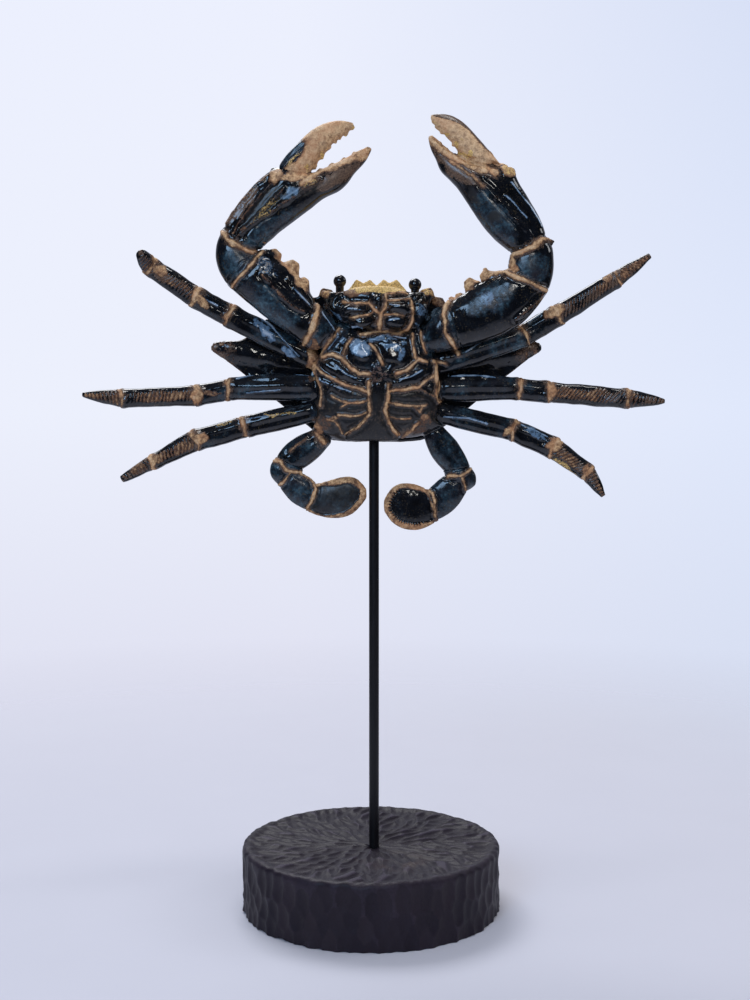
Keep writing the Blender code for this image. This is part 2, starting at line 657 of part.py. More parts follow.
def main():
    clear_scene()
    parts = new_collection("ceramic_swimming_crab")
    tools = new_collection("cutters")
    stand(parts, tools)
    carapace(parts)
    chest_cutter = thorax(parts, tools)
    hide_tool(chest_cutter)
    abdomen(chest_cutter, parts)
    mouth_parts(face(parts, tools), parts, tools)
    eyes(parts)
    cheliped("right", CHELIPED_RIGHT, FINGER_RIGHT, (MERUS_RIGHT, CARPUS_RIGHT, PALM_RIGHT),
             [FINGER_FOOT_RIGHT, FINGER_END_RIGHT],
             (MERUS_TEETH_RIGHT, (), PALM_THORN_RIGHT, FIXED_GAPE_RIGHT, FINGER_GAPE_RIGHT),
             parts, tools)
    cheliped("left", CHELIPED_LEFT, FINGER_LEFT, (MERUS_LEFT, CARPUS_LEFT, PALM_LEFT),
             [FINGER_FOOT_LEFT, FINGER_END_LEFT],
             (MERUS_TEETH_LEFT, CARPUS_THORN_LEFT, PALM_THORN_LEFT, FIXED_GAPE_LEFT,
              FINGER_GAPE_LEFT), parts, tools)
    walking_leg("leg_1_right", LEG_1_RIGHT, LEG_MERUS, parts)
    walking_leg("leg_2_right", LEG_2_RIGHT, LEG_2_MERUS, parts)
    walking_leg("leg_3_right", LEG_3_RIGHT, LEG_MERUS, parts)
    walking_leg("leg_1_left", LEG_1_LEFT, LEG_MERUS, parts)
    walking_leg("leg_2_left", LEG_2_LEFT, LEG_2_MERUS, parts)
    walking_leg("leg_3_left", LEG_3_LEFT, LEG_MERUS, parts)
    swimming_leg("right", SWIMMER_RIGHT, SWIM_MERUS_RIGHT, PADDLE_RIGHT, parts)
    swimming_leg("left", SWIMMER_LEFT, SWIM_MERUS_LEFT, PADDLE_LEFT, parts)


main()
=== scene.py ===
"""The looks of the glazed ceramic swimming crab, its steel rod and its carved wood base.

Every ceramic skin starts as copies of the CAD nodes, rounded and fused. Fields over its
vertices, in millimetres, then push the skin in and out and say where the glaze breaks to
bare clay. A flat figure lies in the XZ plane, so its points are pairs (x, z).
"""
import itertools
import math
from collections import namedtuple

import bmesh
import bpy
import numpy as np
from mathutils import Matrix, Vector
from mathutils.kdtree import KDTree


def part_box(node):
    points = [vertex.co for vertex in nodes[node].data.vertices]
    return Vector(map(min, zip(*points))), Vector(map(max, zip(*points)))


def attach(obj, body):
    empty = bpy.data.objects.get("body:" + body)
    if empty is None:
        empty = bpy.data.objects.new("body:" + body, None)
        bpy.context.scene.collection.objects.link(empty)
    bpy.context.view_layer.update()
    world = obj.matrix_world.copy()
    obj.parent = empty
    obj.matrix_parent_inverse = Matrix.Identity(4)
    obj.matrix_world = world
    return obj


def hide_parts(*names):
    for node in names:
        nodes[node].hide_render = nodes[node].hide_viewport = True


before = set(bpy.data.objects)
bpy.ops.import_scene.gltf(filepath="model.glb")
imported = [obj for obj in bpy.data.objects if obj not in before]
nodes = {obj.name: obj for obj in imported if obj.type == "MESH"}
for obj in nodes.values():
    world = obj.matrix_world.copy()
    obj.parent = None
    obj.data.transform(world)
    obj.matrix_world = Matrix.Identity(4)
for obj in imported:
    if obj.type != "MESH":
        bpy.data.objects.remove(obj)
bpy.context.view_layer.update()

MM = 1000.0                    # millimetres in a metre
TURN = 2 * math.pi
FAR = 1e9                      # a distance that anything is nearer than
BODY_X = 3.5                   # the crab's middle plane
SHELL_X = 2.8                  # the back shell's middle, a little off it
BODY_CENTRE = np.array((BODY_X, -1.0, 268.0))

# The size of the even faces that each kind of skin is made of.
BODY_VOXEL = 0.57
SHELL_VOXEL = 0.55
CLAW_VOXEL = 0.45
LEG_VOXEL = 0.38
CREASE_ANGLE = math.radians(48)    # edges of the CAD nodes sharper than this stay crisp
CREASE = 0.6
CAP_SIDES = 10                 # only the end of a limb piece has a face with this many sides
MOST_WORN = 1.4                # the highest value of a mask

OUTWARD = {"right": -1, "left": 1}
SIDES = tuple(OUTWARD)
LEGS = tuple((number, side) for side in SIDES for number in (1, 2, 3))

Line = namedtuple("Line", "path width height clay")


class Patch:
    """A turned ellipse at (x, z) that lifts the skin and raises some of its masks."""

    def __init__(self, x, z, length, width, turn, lift=0.0, **masks):
        self.centre, self.radii, self.turn = (x, z), (length, width), math.radians(turn)
        self.lift, self.masks = lift, masks

    def cover(self, points):
        """1 at the patch's middle, falling to 0 a little outside it."""
        dx, dz = points[:, 0] - self.centre[0], points[:, 2] - self.centre[1]
        along = dx * math.cos(self.turn) + dz * math.sin(self.turn)
        across = dz * math.cos(self.turn) - dx * math.sin(self.turn)
        return 1 - ease(0.55, 1.25, np.hypot(along / self.radii[0], across / self.radii[1]))


# ---- the underside's raised lines: (x, z) points ----

MOUTH_LINES = (
    Line(((-21, 300.5), (-16, 298), (-10.5, 296.5), (-6, 291)), 0.8, 0.7, 0.3),
    Line(((-5.5, 290.5), (-1, 290.5), (4, 292.5), (8.5, 291.5), (14, 290.5), (18, 293),
          (20, 297.5), (20, 303), (19.5, 307)), 1, 0.8, 1),
    Line(((4, 292.5), (4.5, 297), (4.5, 300.5)), 1.7, 0.5, 1),
    Line(((4.5, 300.5), (2, 302.5), (-0.5, 305.5)), 1, 0.7, 1),
    Line(((4.5, 300.5), (7, 303.5), (7.5, 307.5), (7, 310)), 0.9, 0.7, 0.95),
    Line(((7.5, 307), (13, 307.5), (19, 308)), 0.8, 0.6, 0.9),
    Line(((7, 310), (13, 311), (18, 310.5)), 0.8, 0.4, 0.75),
    Line(((-14, 306.5), (-11, 305.6), (-6.5, 305.6), (-1, 305.5)), 0.8, 0.5, 0.7),
    Line(((1, 301.5), (-2.5, 299.6), (-10, 298.8)), 0.7, 0.5, 0.8),
    Line(((7, 300), (12.5, 300), (15.5, 299.5)), 0.7, 0.4, 0.75),
)
CHEST_LINES = (
    Line(((-0.5, 285), (2.5, 282.5), (4.5, 278.5), (5.5, 276)), 0.9, 0.8, 0.95),
    Line(((-9, 288), (-11.5, 285), (-13, 281)), 0.8, 0.5, 0.75),
    Line(((-15.5, 293), (-18.5, 289.5), (-22.5, 284), (-24.5, 280.5)), 0.9, 0.7, 0.9),
    Line(((-23.5, 279.5), (-19, 280.5), (-14, 278.5), (-10, 274), (-6, 271.5), (-1, 271)),
         1.1, 1, 1),
    Line(((-27, 275), (-24, 271.5), (-18, 268.5), (-12.5, 265.5), (-6.5, 264.5),
          (-1.5, 262.5)), 1, 0.9, 0.95),
    Line(((12.5, 271), (17, 272.5), (20.5, 276), (23.5, 278), (27, 277)), 1, 0.9, 1),
    Line(((20.5, 290.5), (20.5, 285), (22, 278.5)), 0.8, 0.6, 0.85),
    Line(((24.5, 292.5), (25.5, 286), (27, 281.5)), 0.8, 0.6, 0.9),
    Line(((9, 262.5), (16, 263.5), (23, 264.5), (27, 267.5), (30.5, 270)), 1, 0.9, 1),
    Line(((24, 264), (27, 262), (30.5, 260)), 0.6, 0.4, 0.7),
    Line(((-1, 267.5), (-0.5, 262.5), (-0.5, 255), (-1, 251), (-3.5, 247.5), (-8, 244),
          (-12.5, 241.5)), 1, 0.8, 0.95),
    Line(((8.5, 265.5), (8, 257), (7, 253.5), (8.5, 248), (10.5, 244.5), (13.5, 241.5)),
         1, 0.8, 0.9),
    Line(((-19, 260.5), (-15, 258), (-11, 257), (-5.5, 257.5), (-1, 258.5)), 0.7, 0.5, 0.85),
    Line(((-11, 257), (-15, 255)), 0.6, 0.3, 0.7),
    Line(((-16, 251), (-11, 250.5), (-5.5, 251), (-1.5, 252.5)), 0.7, 0.5, 0.9),
    Line(((9, 257), (15, 256), (21, 255.5), (27, 256)), 0.8, 0.5, 0.9),
    Line(((21, 255.5), (24, 252.5), (25, 255)), 0.8, 0.4, 0.8),
    Line(((9, 250.5), (13.5, 249.5), (19.5, 249)), 0.6, 0.4, 0.75),
    Line(((23, 247), (19.5, 243.5), (16, 240.5)), 1.1, 0.6, 0.85),
    Line(((-28, 276), (-27.5, 270.5), (-24.5, 265), (-24, 260.5), (-25, 256)), 1, 0.6, 0.95),
    Line(((37, 276), (30.5, 277.5), (32, 276), (32, 271), (33.5, 265), (32, 259.5),
          (34, 257.5)), 1, 0.7, 0.95),
    Line(((-22, 249), (-17.5, 247.5), (-14, 242)), 0.8, 0.5, 0.8),
)
# Besides bare clay and brown, these patches hold painted highlights: the pale ones on the plates,
# cheeks and antennules paint the window's reflection into the colour, and those between the mouth
# and the plates are partly pale mottled glaze.
CHEST_PATCHES = (
    Patch(-29.5, 281, 2.2, 4.6, 12, 0.5, clay=0.95),
    Patch(-28, 273.5, 2, 5.5, -6, 0.3, clay=0.9),
    Patch(-27, 286, 1.7, 4.4, 14, 0.1, clay=0.62),
    Patch(-26, 243.5, 1.8, 4, -10, 0.3, clay=0.75),
    Patch(26, 250, 2, 2.4, 30, 0.2, clay=0.7),
    Patch(-19, 249, 3.5, 1.4, 10, 0.2, clay=0.6),
    Patch(-5, 283.5, 8.5, 5.5, -18, 1.1),
    Patch(-5, 284, 5.6, 4.6, -18, frost=1),
    Patch(-4, 282, 3.2, 1.8, -18, frost=1.25),
    Patch(12.5, 282, 7.5, 7, 0, 1.1),
    Patch(11, 284.6, 5.4, 2.2, -8, frost=0.8),
    Patch(14.6, 280, 2.6, 4.4, -20, frost=0.72),
    Patch(-17.5, 301, 7, 1.5, -44, 0.5, frost=0.74),
    Patch(24.6, 303, 2.8, 4.2, 0, 0.6, frost=0.6),
    Patch(27, 300.5, 3, 2, -20, 0.3, frost=0.56),
    Patch(29.5, 299, 3, 1.6, 20, 0.4, frost=0.55),
    Patch(22.8, 294.5, 2, 1.5, 0, 0.2, frost=0.55),
    Patch(1.2, 308.3, 1.8, 2.8, 10, 1.3),
    Patch(5, 308.5, 1.6, 2.8, -10, 1.3),
    Patch(0.6, 309.6, 0.8, 1, 0, frost=1),
    Patch(4.8, 309.8, 0.7, 1, 0, frost=1),
    Patch(-29, 277, 3.6, 10, -8, 0.3, brown=1, clay=0.66),
    Patch(-25, 246.5, 6, 5, 0, 0.2, brown=0.62, clay=0.36),
    Patch(25, 247, 4, 7, -40, 0.2, brown=0.62, clay=0.4),
    Patch(3.2, 270.5, 5, 5, 0, 0.2, brown=0.42, clay=0.34, frost=0.34),
    Patch(6, 288.6, 9, 2.2, 0, 0.7, frost=0.7),
    Patch(-13.5, 287, 3, 2.2, -30, 0.3, frost=0.62),
    Patch(16, 286.5, 3.6, 1.6, -10, 0.3, frost=0.62),
    Patch(2.6, 274.5, 3.4, 3, 0, 0.5, frost=0.5, clay=0.3),
    Patch(-16, 272.5, 9, 2.6, -30, 0.6),
    Patch(19, 268.5, 9, 2.6, 18, 0.6),
)

# Paths of thin ridges on the underside that draw_glints gives a painted highlight.
FACE_GLINTS = (
    ((-11, 303), (-5, 302.5)), ((-9, 294.5), (-4, 294)), ((9.5, 305), (14, 304)),
    ((9, 297.5), (14, 298)), ((-24, 301), (-20, 295), (-16, 290.5)), ((-16, 289.5), (-21, 283)),
    ((-17, 275.5), (-12, 271), (-7, 269)), ((14, 268.5), (20, 270), (25, 273)),
    ((-26, 268.5), (-17, 265), (-10, 262.5)), ((11, 289.5), (17, 288.5)),
)
EYE_HOLLOWS = ((-15, 305.5), (22, 308))
ABDOMEN_TOP = (258, 268)   # the heights between which the glaze turns from gloss to satin
ORBIT_PATCHES = (
    Patch(-22.5, 311.8, 4.5, 3, -20, 0.1, clay=0.75, gold=0.35),
    Patch(28.2, 312, 4.5, 3, -30, 0.1, clay=0.8, gold=0.5),
    Patch(34, 307, 4, 3, -30, 0.1, clay=0.6),
    Patch(-21, 303.5, 4.5, 2.4, -50, clay=0.42),
    Patch(8, 313, 14, 1.6, 0, clay=0.55),
    Patch(-9, 311, 9, 2.2, 0, brown=1, clay=0.62),
)

# ---- the claw arms' lines ----

CLAW_LINES = {
    "right": (
        Line(((-70, 344), (-62.5, 354.5), (-55.5, 362.5), (-48.5, 368)), 1.2, 0.9, 0.36),
        Line(((-67, 339), (-59.5, 349.5), (-52, 358.5), (-46, 364)), 0.9, 1, 0.38),
        Line(((-65, 337), (-56, 346.5), (-48, 354.5), (-42, 360.5)), 0.8, 0.9, 0.3),
        Line(((-64, 340), (-55.5, 345), (-44, 352.5), (-33.5, 359.5), (-25, 365)),
             1.1, 0.9, 0.3),
        Line(((-72.5, 340.5), (-69.5, 336), (-64, 332.5), (-57.5, 330)), 1.5, 0.8, 1),
        Line(((-53, 330), (-57, 325), (-60, 321.5), (-64.5, 317), (-67.5, 314)), 1, 0.5, 0.9),
        Line(((-52.5, 319), (-48.5, 314.5), (-44, 309.5), (-39, 305), (-33, 301.5)),
             1, 1, 0.4),
        Line(((-40.5, 317.5), (-34.5, 309.5), (-29.5, 303)), 0.9, 0.5, 0.25),
        Line(((-33, 363.5), (-24, 370), (-17, 372.5), (-8.5, 376), (-3, 379), (0, 381)),
             2.2, 0, 1),
    ),
    "left": (
        Line(((44, 376.5), (52, 372.5), (61, 369)), 2.6, 0, 1),
        Line(((44, 372), (49.5, 367.5), (55, 362), (64, 352.5), (72.5, 343.5), (78, 337.5)),
             1.3, 0.5, 0.2),
        Line(((68.5, 329), (73.5, 330), (79, 332.5), (83, 336), (87.5, 337)), 1.4, 0.8, 1),
        Line(((59.5, 320), (65, 320.5), (70.5, 318), (77, 315.5), (85, 312)), 1.5, 0.7, 1),
        Line(((84, 310.5), (78, 304), (70, 297.5)), 0.9, 0.7, 0.3),
        Line(((29, 386), (33, 381), (38.5, 377), (44, 373.5), (51, 370), (60, 368)),
             2.2, 0.2, 1),
        Line(((38.5, 374), (44.5, 369.5), (51, 365), (54.5, 361.5)), 1.3, 0, 0.7),
    ),
}
ROOT_LINES = {
    "right": Line(((-26, 305), (-26.5, 299), (-28.5, 293), (-33, 286)), 1.3, 0.8, 1),
    "left": Line(((38.5, 307.5), (36.2, 299), (36.6, 291), (40.5, 285.5), (43, 281)),
                 1.2, 0.8, 1),
}
# The pale amounts in these patches are painted highlights on the arms, partly also pale glaze.
CLAW_PATCHES = {
    "right": (
        Patch(-51.5, 324, 7.5, 3.6, -42, 0.2, frost=0.55, gold=0.34, clay=0.26),
        Patch(-46.5, 366.5, 3.6, 5, -20, 0.7, clay=1),
        Patch(-37, 366.5, 8.5, 2.8, 10, clay=1),
        Patch(-3.5, 378.5, 5.5, 3.5, 38, clay=1),
        Patch(-15, 367, 15, 4, 28, brown=1),
        Patch(-27, 360.5, 9, 2.4, 30, satin=0.9),
        Patch(-62, 353, 14, 3, 53, brown=0.75),
        Patch(-54, 351.5, 15, 4.4, 48, satin=0.9),
        Patch(-29.5, 363, 4.5, 1.8, 35, gold=0.45),
        Patch(-38.5, 358.2, 5.6, 2, 27, blue=1, frost=0.75),
        Patch(-51, 350, 11, 2.2, 40, gold=0.42),
        Patch(-48, 341, 17, 6, 32, blue=1),
        Patch(-65, 325, 8, 8.5, 0, blue=0.9),
        Patch(-50, 305, 17, 7, -42, blue=0.85),
        Patch(-41, 316, 10, 3, -42, gold=0.22),
    ),
    "left": (
        Patch(66.5, 369.5, 4.6, 3, -30, 0.8, clay=1, gold=0.5),
        Patch(29, 385, 3, 4.5, 10, clay=1),
        Patch(41.5, 370.5, 14, 5, -38, brown=0.95),
        Patch(46, 370.3, 2.8, 1.8, -30, frost=0.62),
        Patch(51, 367, 2.4, 1.6, -30, frost=0.45),
        Patch(59, 347, 17, 7, -52, blue=1),
        Patch(59.7, 346.5, 3.4, 2.8, 0, satin=1),
        Patch(49.5, 358, 6, 2.2, -55, satin=0.9),
        Patch(79, 323, 8.5, 7.5, 0, blue=1),
        Patch(58, 307, 14, 7, 28, blue=1, frost=0.3),
        Patch(57, 308, 5, 4, 30, frost=0.62),
        Patch(69, 324, 2.6, 5, 20, clay=1),
        Patch(60, 316.5, 9, 2, 20, gold=0.3),
    ),
}
LEFT_FILLS = ((46, 375), (50.5, 373), (55.5, 370.5), (60.8, 370.5), (63.5, 370.8))
# The pointed teeth of the left arm: the middle of each foot, its tip and its foot's radius.
LEFT_TEETH = (((60.2, 314), (55.7, 323), 4.2), ((50.7, 308.8), (46.3, 316.8), 3.8),
              ((43.8, 304.6), (38.9, 308.7), 3))
# Paths of thin ridges on the arms that draw_glints gives a painted highlight.
CLAW_GLINTS = {
    "right": (((-66, 347), (-62, 353)), ((-37, 312), (-30, 304.5))),
    "left": (((65.2, 357), (69.1, 353.6), (72.5, 349.4), (75.5, 346.5)),
             ((68.1, 363.7), (72.4, 357.9), (77.6, 352), (81, 346.9), (83.2, 342.7)),
             ((44, 313), (52, 316), (60, 319))),
}
DARK_PATCH = Patch(-39, 377.5, 10, 4.8, 45)
# The second finger mark is a painted highlight, a pale line along the finger.
FINGER_MARKS = (
    Patch(-37, 375, 6, 0.7, 45, 0.2, gold=0.6),
    Patch(-35.2, 373.8, 5, 1.3, 52, frost=0.8),
)

# ---- marks on single legs ----

# Paths of thin ridges on the legs that draw_glints gives a painted highlight.
LEG_GLINTS = (
    ((-59, 301), (-49.5, 294.5), (-43, 287.5), (-35.5, 280)),
    ((-67, 268.3), (-56.5, 270.5), (-41.5, 271.3), (-30, 269.5)),
    ((-66, 248), (-55, 250), (-46, 251)),
    ((-62, 262), (-45, 263.5)),
    ((40, 269.5), (52, 270), (62, 269)),
    ((47, 282), (58, 288.5), (68, 294.5)),
    ((78, 296.5), (86, 302)),
    ((36, 250), (48, 249.5), (58, 246.5)),
    ((75, 246), (82, 243), (88, 240)),
    ((-82, 308), (-76, 305)),
)
RIB_PITCH, RIB_HEIGHT = 1.9, 0.25
RIB_SLANT = {"right": 0.3, "left": -0.7}
CROSSED = {(1, "left"): 0.5}   # how strongly a leg tip's ribs are crossed by others
# The pale patches here are painted highlights along the legs' upper faces and ridges.
LEG_PATCHES = (
    Patch(-53, 293.5, 9, 2.6, -42, 0.3, frost=0.8),
    Patch(-51, 291.5, 5, 1.1, -42, frost=1.2),
    Patch(-41, 283, 5, 1.2, -42, 0.3, frost=0.95),
    Patch(-83.8, 306.5, 5.5, 2.4, -40, 0.2, clay=0.9),
    Patch(-104, 321.7, 4, 3, -45, clay=0.8),
    Patch(-111, 325, 4, 3.5, 45, blue=1, frost=0.4),
    Patch(-86.2, 260.5, 3.4, 4, 0, 0.2, clay=0.95),
    Patch(-79, 261.4, 5, 1.8, 0, clay=0.55),
    Patch(-85.2, 239, 4, 3, 25, 0.2, clay=0.9),
    Patch(-108, 229.6, 3.5, 3, 25, clay=0.7),
    Patch(-117, 225.3, 5.5, 3, 35, clay=0.6),
    Patch(-46, 250.3, 11, 0.9, 4, gold=0.5),
    Patch(-74, 246.5, 6, 1.2, 18, gold=0.45),
    Patch(91, 302.2, 7, 3, 35, 0.2, clay=0.9),
    Patch(117.4, 319, 3, 3, 0, clay=0.7),
    Patch(89.3, 263, 3, 4, 0, 0.2, clay=0.9),
    Patch(111, 259.5, 15, 1.6, -5, frost=0.4),
    Patch(80.6, 241.7, 7.5, 1.9, -28, 0.1, frost=0.75),
    Patch(91, 235.7, 4, 4.5, -35, 0.2, clay=0.95),
    Patch(98, 223.6, 11, 1.8, -40, gold=0.6),
    Patch(68, 243.5, 4, 2.2, 40, clay=0.8),
    Patch(107.4, 223.6, 2.2, 3, 0, clay=0.8),
)

# ---- the paddle legs' joint lines ----

SWIM_LINES = {
    "right": (
        Line(((-48.9, 228.6), (-45.4, 227.6), (-42, 223.7), (-35.5, 222.2)), 1.1, 0.5, 1),
        Line(((-40, 222.2), (-42.5, 219.2), (-45.5, 216.2)), 0.8, 0.5, 0.9),
        Line(((-35.5, 222.2), (-29.6, 218.2), (-27.6, 213.7), (-28.6, 210.3), (-31.6, 204.8)),
             1, 0.5, 1),
        Line(((-40.4, 233.1), (-36, 236.5), (-31.5, 239)), 0.6, 0.5, 0.55),
        Line(((-27.5, 242), (-23.1, 237)), 1.6, 0.3, 0.9),
    ),
    "left": (
        Line(((38.7, 220.2), (44.7, 220.7), (50.6, 224.2)), 1, 0.5, 1),
        Line(((45.7, 219.4), (46.7, 216.7), (47.7, 213.2)), 0.8, 0.5, 0.9),
        Line(((27.9, 213.7), (30.3, 211.8), (31.6, 207.3), (32.4, 200.3)), 0.9, 0.5, 1),
    ),
}

# The direction in which a paddle's rim is thickest, in radians, the depth of the fringe
# there, how satin the paddle is, how blue the leg is, and how much of that its paddle loses.
Paddle = namedtuple("Paddle", "thickest fringe satin blue less_blue")
PADDLES = {
    "right": Paddle(0.6, 0.15, 0.6, 0.6, 0.3),
    "left": Paddle(-2.5, 0.7, 0.1, 0.4, 0.9),
}
RIM_SLOTS = 72                 # the directions in which a paddle's reach is measured
RIM_RIBS = 41                  # the ribs of a whole turn

# ---- the back shell ----

# Ridges, grooves and lumps of one half of the back: (distance from the middle, z).
SHELL_RIDGES = (
    (((76, 285.5), (62, 288), (50, 288.5), (38, 285), (27, 283), (20, 285)), 0.9, 0.8),
    (((0, 301), (8, 301.5), (16, 299.5)), 0.7, 0.5),
    (((0, 292), (10, 293), (19, 291.5)), 0.7, 0.6),
    (((12, 272), (20, 274), (28, 272)), 0.7, 0.5),
    (((4, 261), (8, 263), (12, 261)), 0.7, 0.4),
    (((60, 273), (46, 263), (32, 251.5), (22, 244), (0, 243)), 0.8, 0.5),
    (((40, 294), (46, 291), (54, 290.5)), 0.7, 0.5),
    (((30, 266), (36, 262.5), (44, 264)), 0.7, 0.4),
    (((0, 278), (0, 270), (0, 262)), 0.6, 0.3),
)
SHELL_GROOVES = (
    (((24, 306), (22, 298), (25, 291), (22, 284), (12, 279), (6, 276), (0, 276)), 1.6, 1),
    (((6, 276), (8, 268), (14, 262), (13, 252), (15, 246)), 1.4, 0.9),
    (((40, 296), (33, 292), (25, 291)), 1.4, 0.5),
)
SHELL_LUMPS = (
    ((10, 296), 8, 1.1),
    ((0, 284), 6, 1),
    ((36, 276), 13, 1.5),
    ((6, 255), 6, 1.3),
    ((30, 262), 9, 1),
    ((48, 283), 9, 0.9),
    ((34, 297), 5, 0.9),
    ((20, 268), 5, 0.7),
)
UNDER_KEEL = ((82, 285), (66, 282), (40, 276))
BEAD_PITCH = 1.7               # of the granules along a ridge

# ---- numbers over space ----

class Lattice:
    """Smooth random values over space, from -1 to 1, the same on every run."""

    def __init__(self, seed, size=41):
        self.size = size
        self.values = np.random.default_rng(seed).uniform(-1, 1, (size, size, size))

    def __call__(self, points, pitch):
        cell = points / pitch
        low = np.floor(cell).astype(int)
        part = cell - low
        part = part * part * (3 - 2 * part)
        total = np.zeros(len(points))
        for corner in itertools.product((0, 1), repeat=3):
            weight = np.where(corner, part, 1 - part).prod(axis=1)
            i, j, k = ((low + corner) % self.size).T
            total += weight * self.values[i, j, k]
        return total


waves = Lattice(11)
grains = Lattice(23)
drifts = (Lattice(5), Lattice(7), Lattice(9))


def ease(low, high, values):
    """Rise smoothly from 0 at low to 1 at high."""
    share = np.clip((values - low) / (high - low), 0, 1)
    return share * share * (3 - 2 * share)


def bell(distance, width):
    return np.exp(-(distance / width) ** 2)


def drifted(points, pitch, reach):
    """The points, moved a little, so that a line drawn over them isn't quite straight."""
    return points + reach * np.stack([drift(points, pitch) for drift in drifts], axis=1)


def from_path(points, path):
    """Distance in the XZ plane from a run of straight steps."""
    flat = points[:, (0, 2)]
    best = np.full(len(points), FAR)
    for a, b in zip(path, path[1:]):
        start, step = np.array(a), np.subtract(b, a)
        share = np.clip((flat - start) @ step / (step @ step), 0, 1)
        best = np.minimum(best, np.linalg.norm(flat - start - share[:, None] * step, axis=1))
    return best


# ---- meshes from the nodes ----

def linked(name, data):
    """A new object of the scene that holds this mesh, camera or light."""
    thing = bpy.data.objects.new(name, data)
    bpy.context.scene.collection.objects.link(thing)
    return thing


def as_mesh(name, shape):
    mesh = bpy.data.meshes.new(name)
    shape.to_mesh(mesh)
    shape.free()
    return mesh


def applied(thing):
    """The object's mesh with its modifiers applied. The object goes."""
    graph = bpy.context.evaluated_depsgraph_get()
    mesh = bpy.data.meshes.new_from_object(thing.evaluated_get(graph))
    bpy.data.objects.remove(thing)
    return mesh


def merged(name):
    shape = bmesh.new()
    shape.from_mesh(nodes[name].data)
    bmesh.ops.remove_doubles(shape, verts=shape.verts, dist=1e-5)
    return shape


def rounded(name, swell):
    """One CAD node as a smooth closed mesh, with its skin moved out by swell."""
    shape = merged(name)
    bmesh.ops.join_triangles(shape, faces=shape.faces, angle_face_threshold=math.radians(40),
                             angle_shape_threshold=math.radians(50))
    shape.normal_update()
    crease = shape.edges.layers.float.new("crease_edge")
    for edge in shape.edges:
        if edge.calc_face_angle(0.0) > CREASE_ANGLE:
            edge[crease] = CREASE
    for vert in shape.verts:
        vert.co += vert.normal * swell / MM
    thing = linked(name + "_round", as_mesh(name + "_round", shape))
    smooth = thing.modifiers.new("Round", "SUBSURF")
    smooth.levels = smooth.render_levels = 2
    return applied(thing)


def fused(label, names, voxel, swell, softening, knuckles=(), teeth=()):
    """Several nodes as one closed skin of small even faces. Each knuckle is the centre
    and radius of a ball that fills the notch at a joint, and each tooth is a cone's foot,
    tip and radius."""
    whole = bmesh.new()
    for name in names:
        whole.from_mesh(rounded(name, swell))
    for centre, radius in knuckles:
        bmesh.ops.create_icosphere(whole, subdivisions=3, radius=radius / MM,
                                   matrix=Matrix.Translation(Vector(centre) / MM))
    for foot, tip, radius in teeth:
        foot, tip = Vector(foot) / MM, Vector(tip) / MM
        lean = (tip - foot).to_track_quat("Z", "Y").to_matrix().to_4x4()
        bmesh.ops.create_cone(whole, cap_ends=True, segments=24, radius1=radius / MM,
                              radius2=0.2 * radius / MM, depth=(tip - foot).length,
                              matrix=Matrix.Translation((foot + tip) / 2) @ lean)
    thing = linked(label, as_mesh(label, whole))
    remesh = thing.modifiers.new("Fuse", "REMESH")
    remesh.mode = "VOXEL"
    remesh.voxel_size = voxel / MM
    soften = thing.modifiers.new("Soften", "SMOOTH")
    soften.factor = 0.5
    soften.iterations = softening
    return applied(thing)


def read(items, key, width=3):
    values = np.empty(len(items) * width)
    items.foreach_get(key, values)
    return values.reshape(-1, width)


def box(name):
    """A node's lowest and highest corner in millimetres."""
    return [np.array(corner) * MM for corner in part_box(name)]


def move(mesh, places):
    """Put the vertices at these places, in millimetres."""
    mesh.vertices.foreach_set("co", (places / MM).ravel())
    mesh.update()


def add_fields(mesh, fields):
    """Give every vertex its own value of each field, for the materials."""
    for name, values in fields.items():
        layer = mesh.attributes.new(name, "FLOAT", "POINT")
        layer.data.foreach_set("value", values)


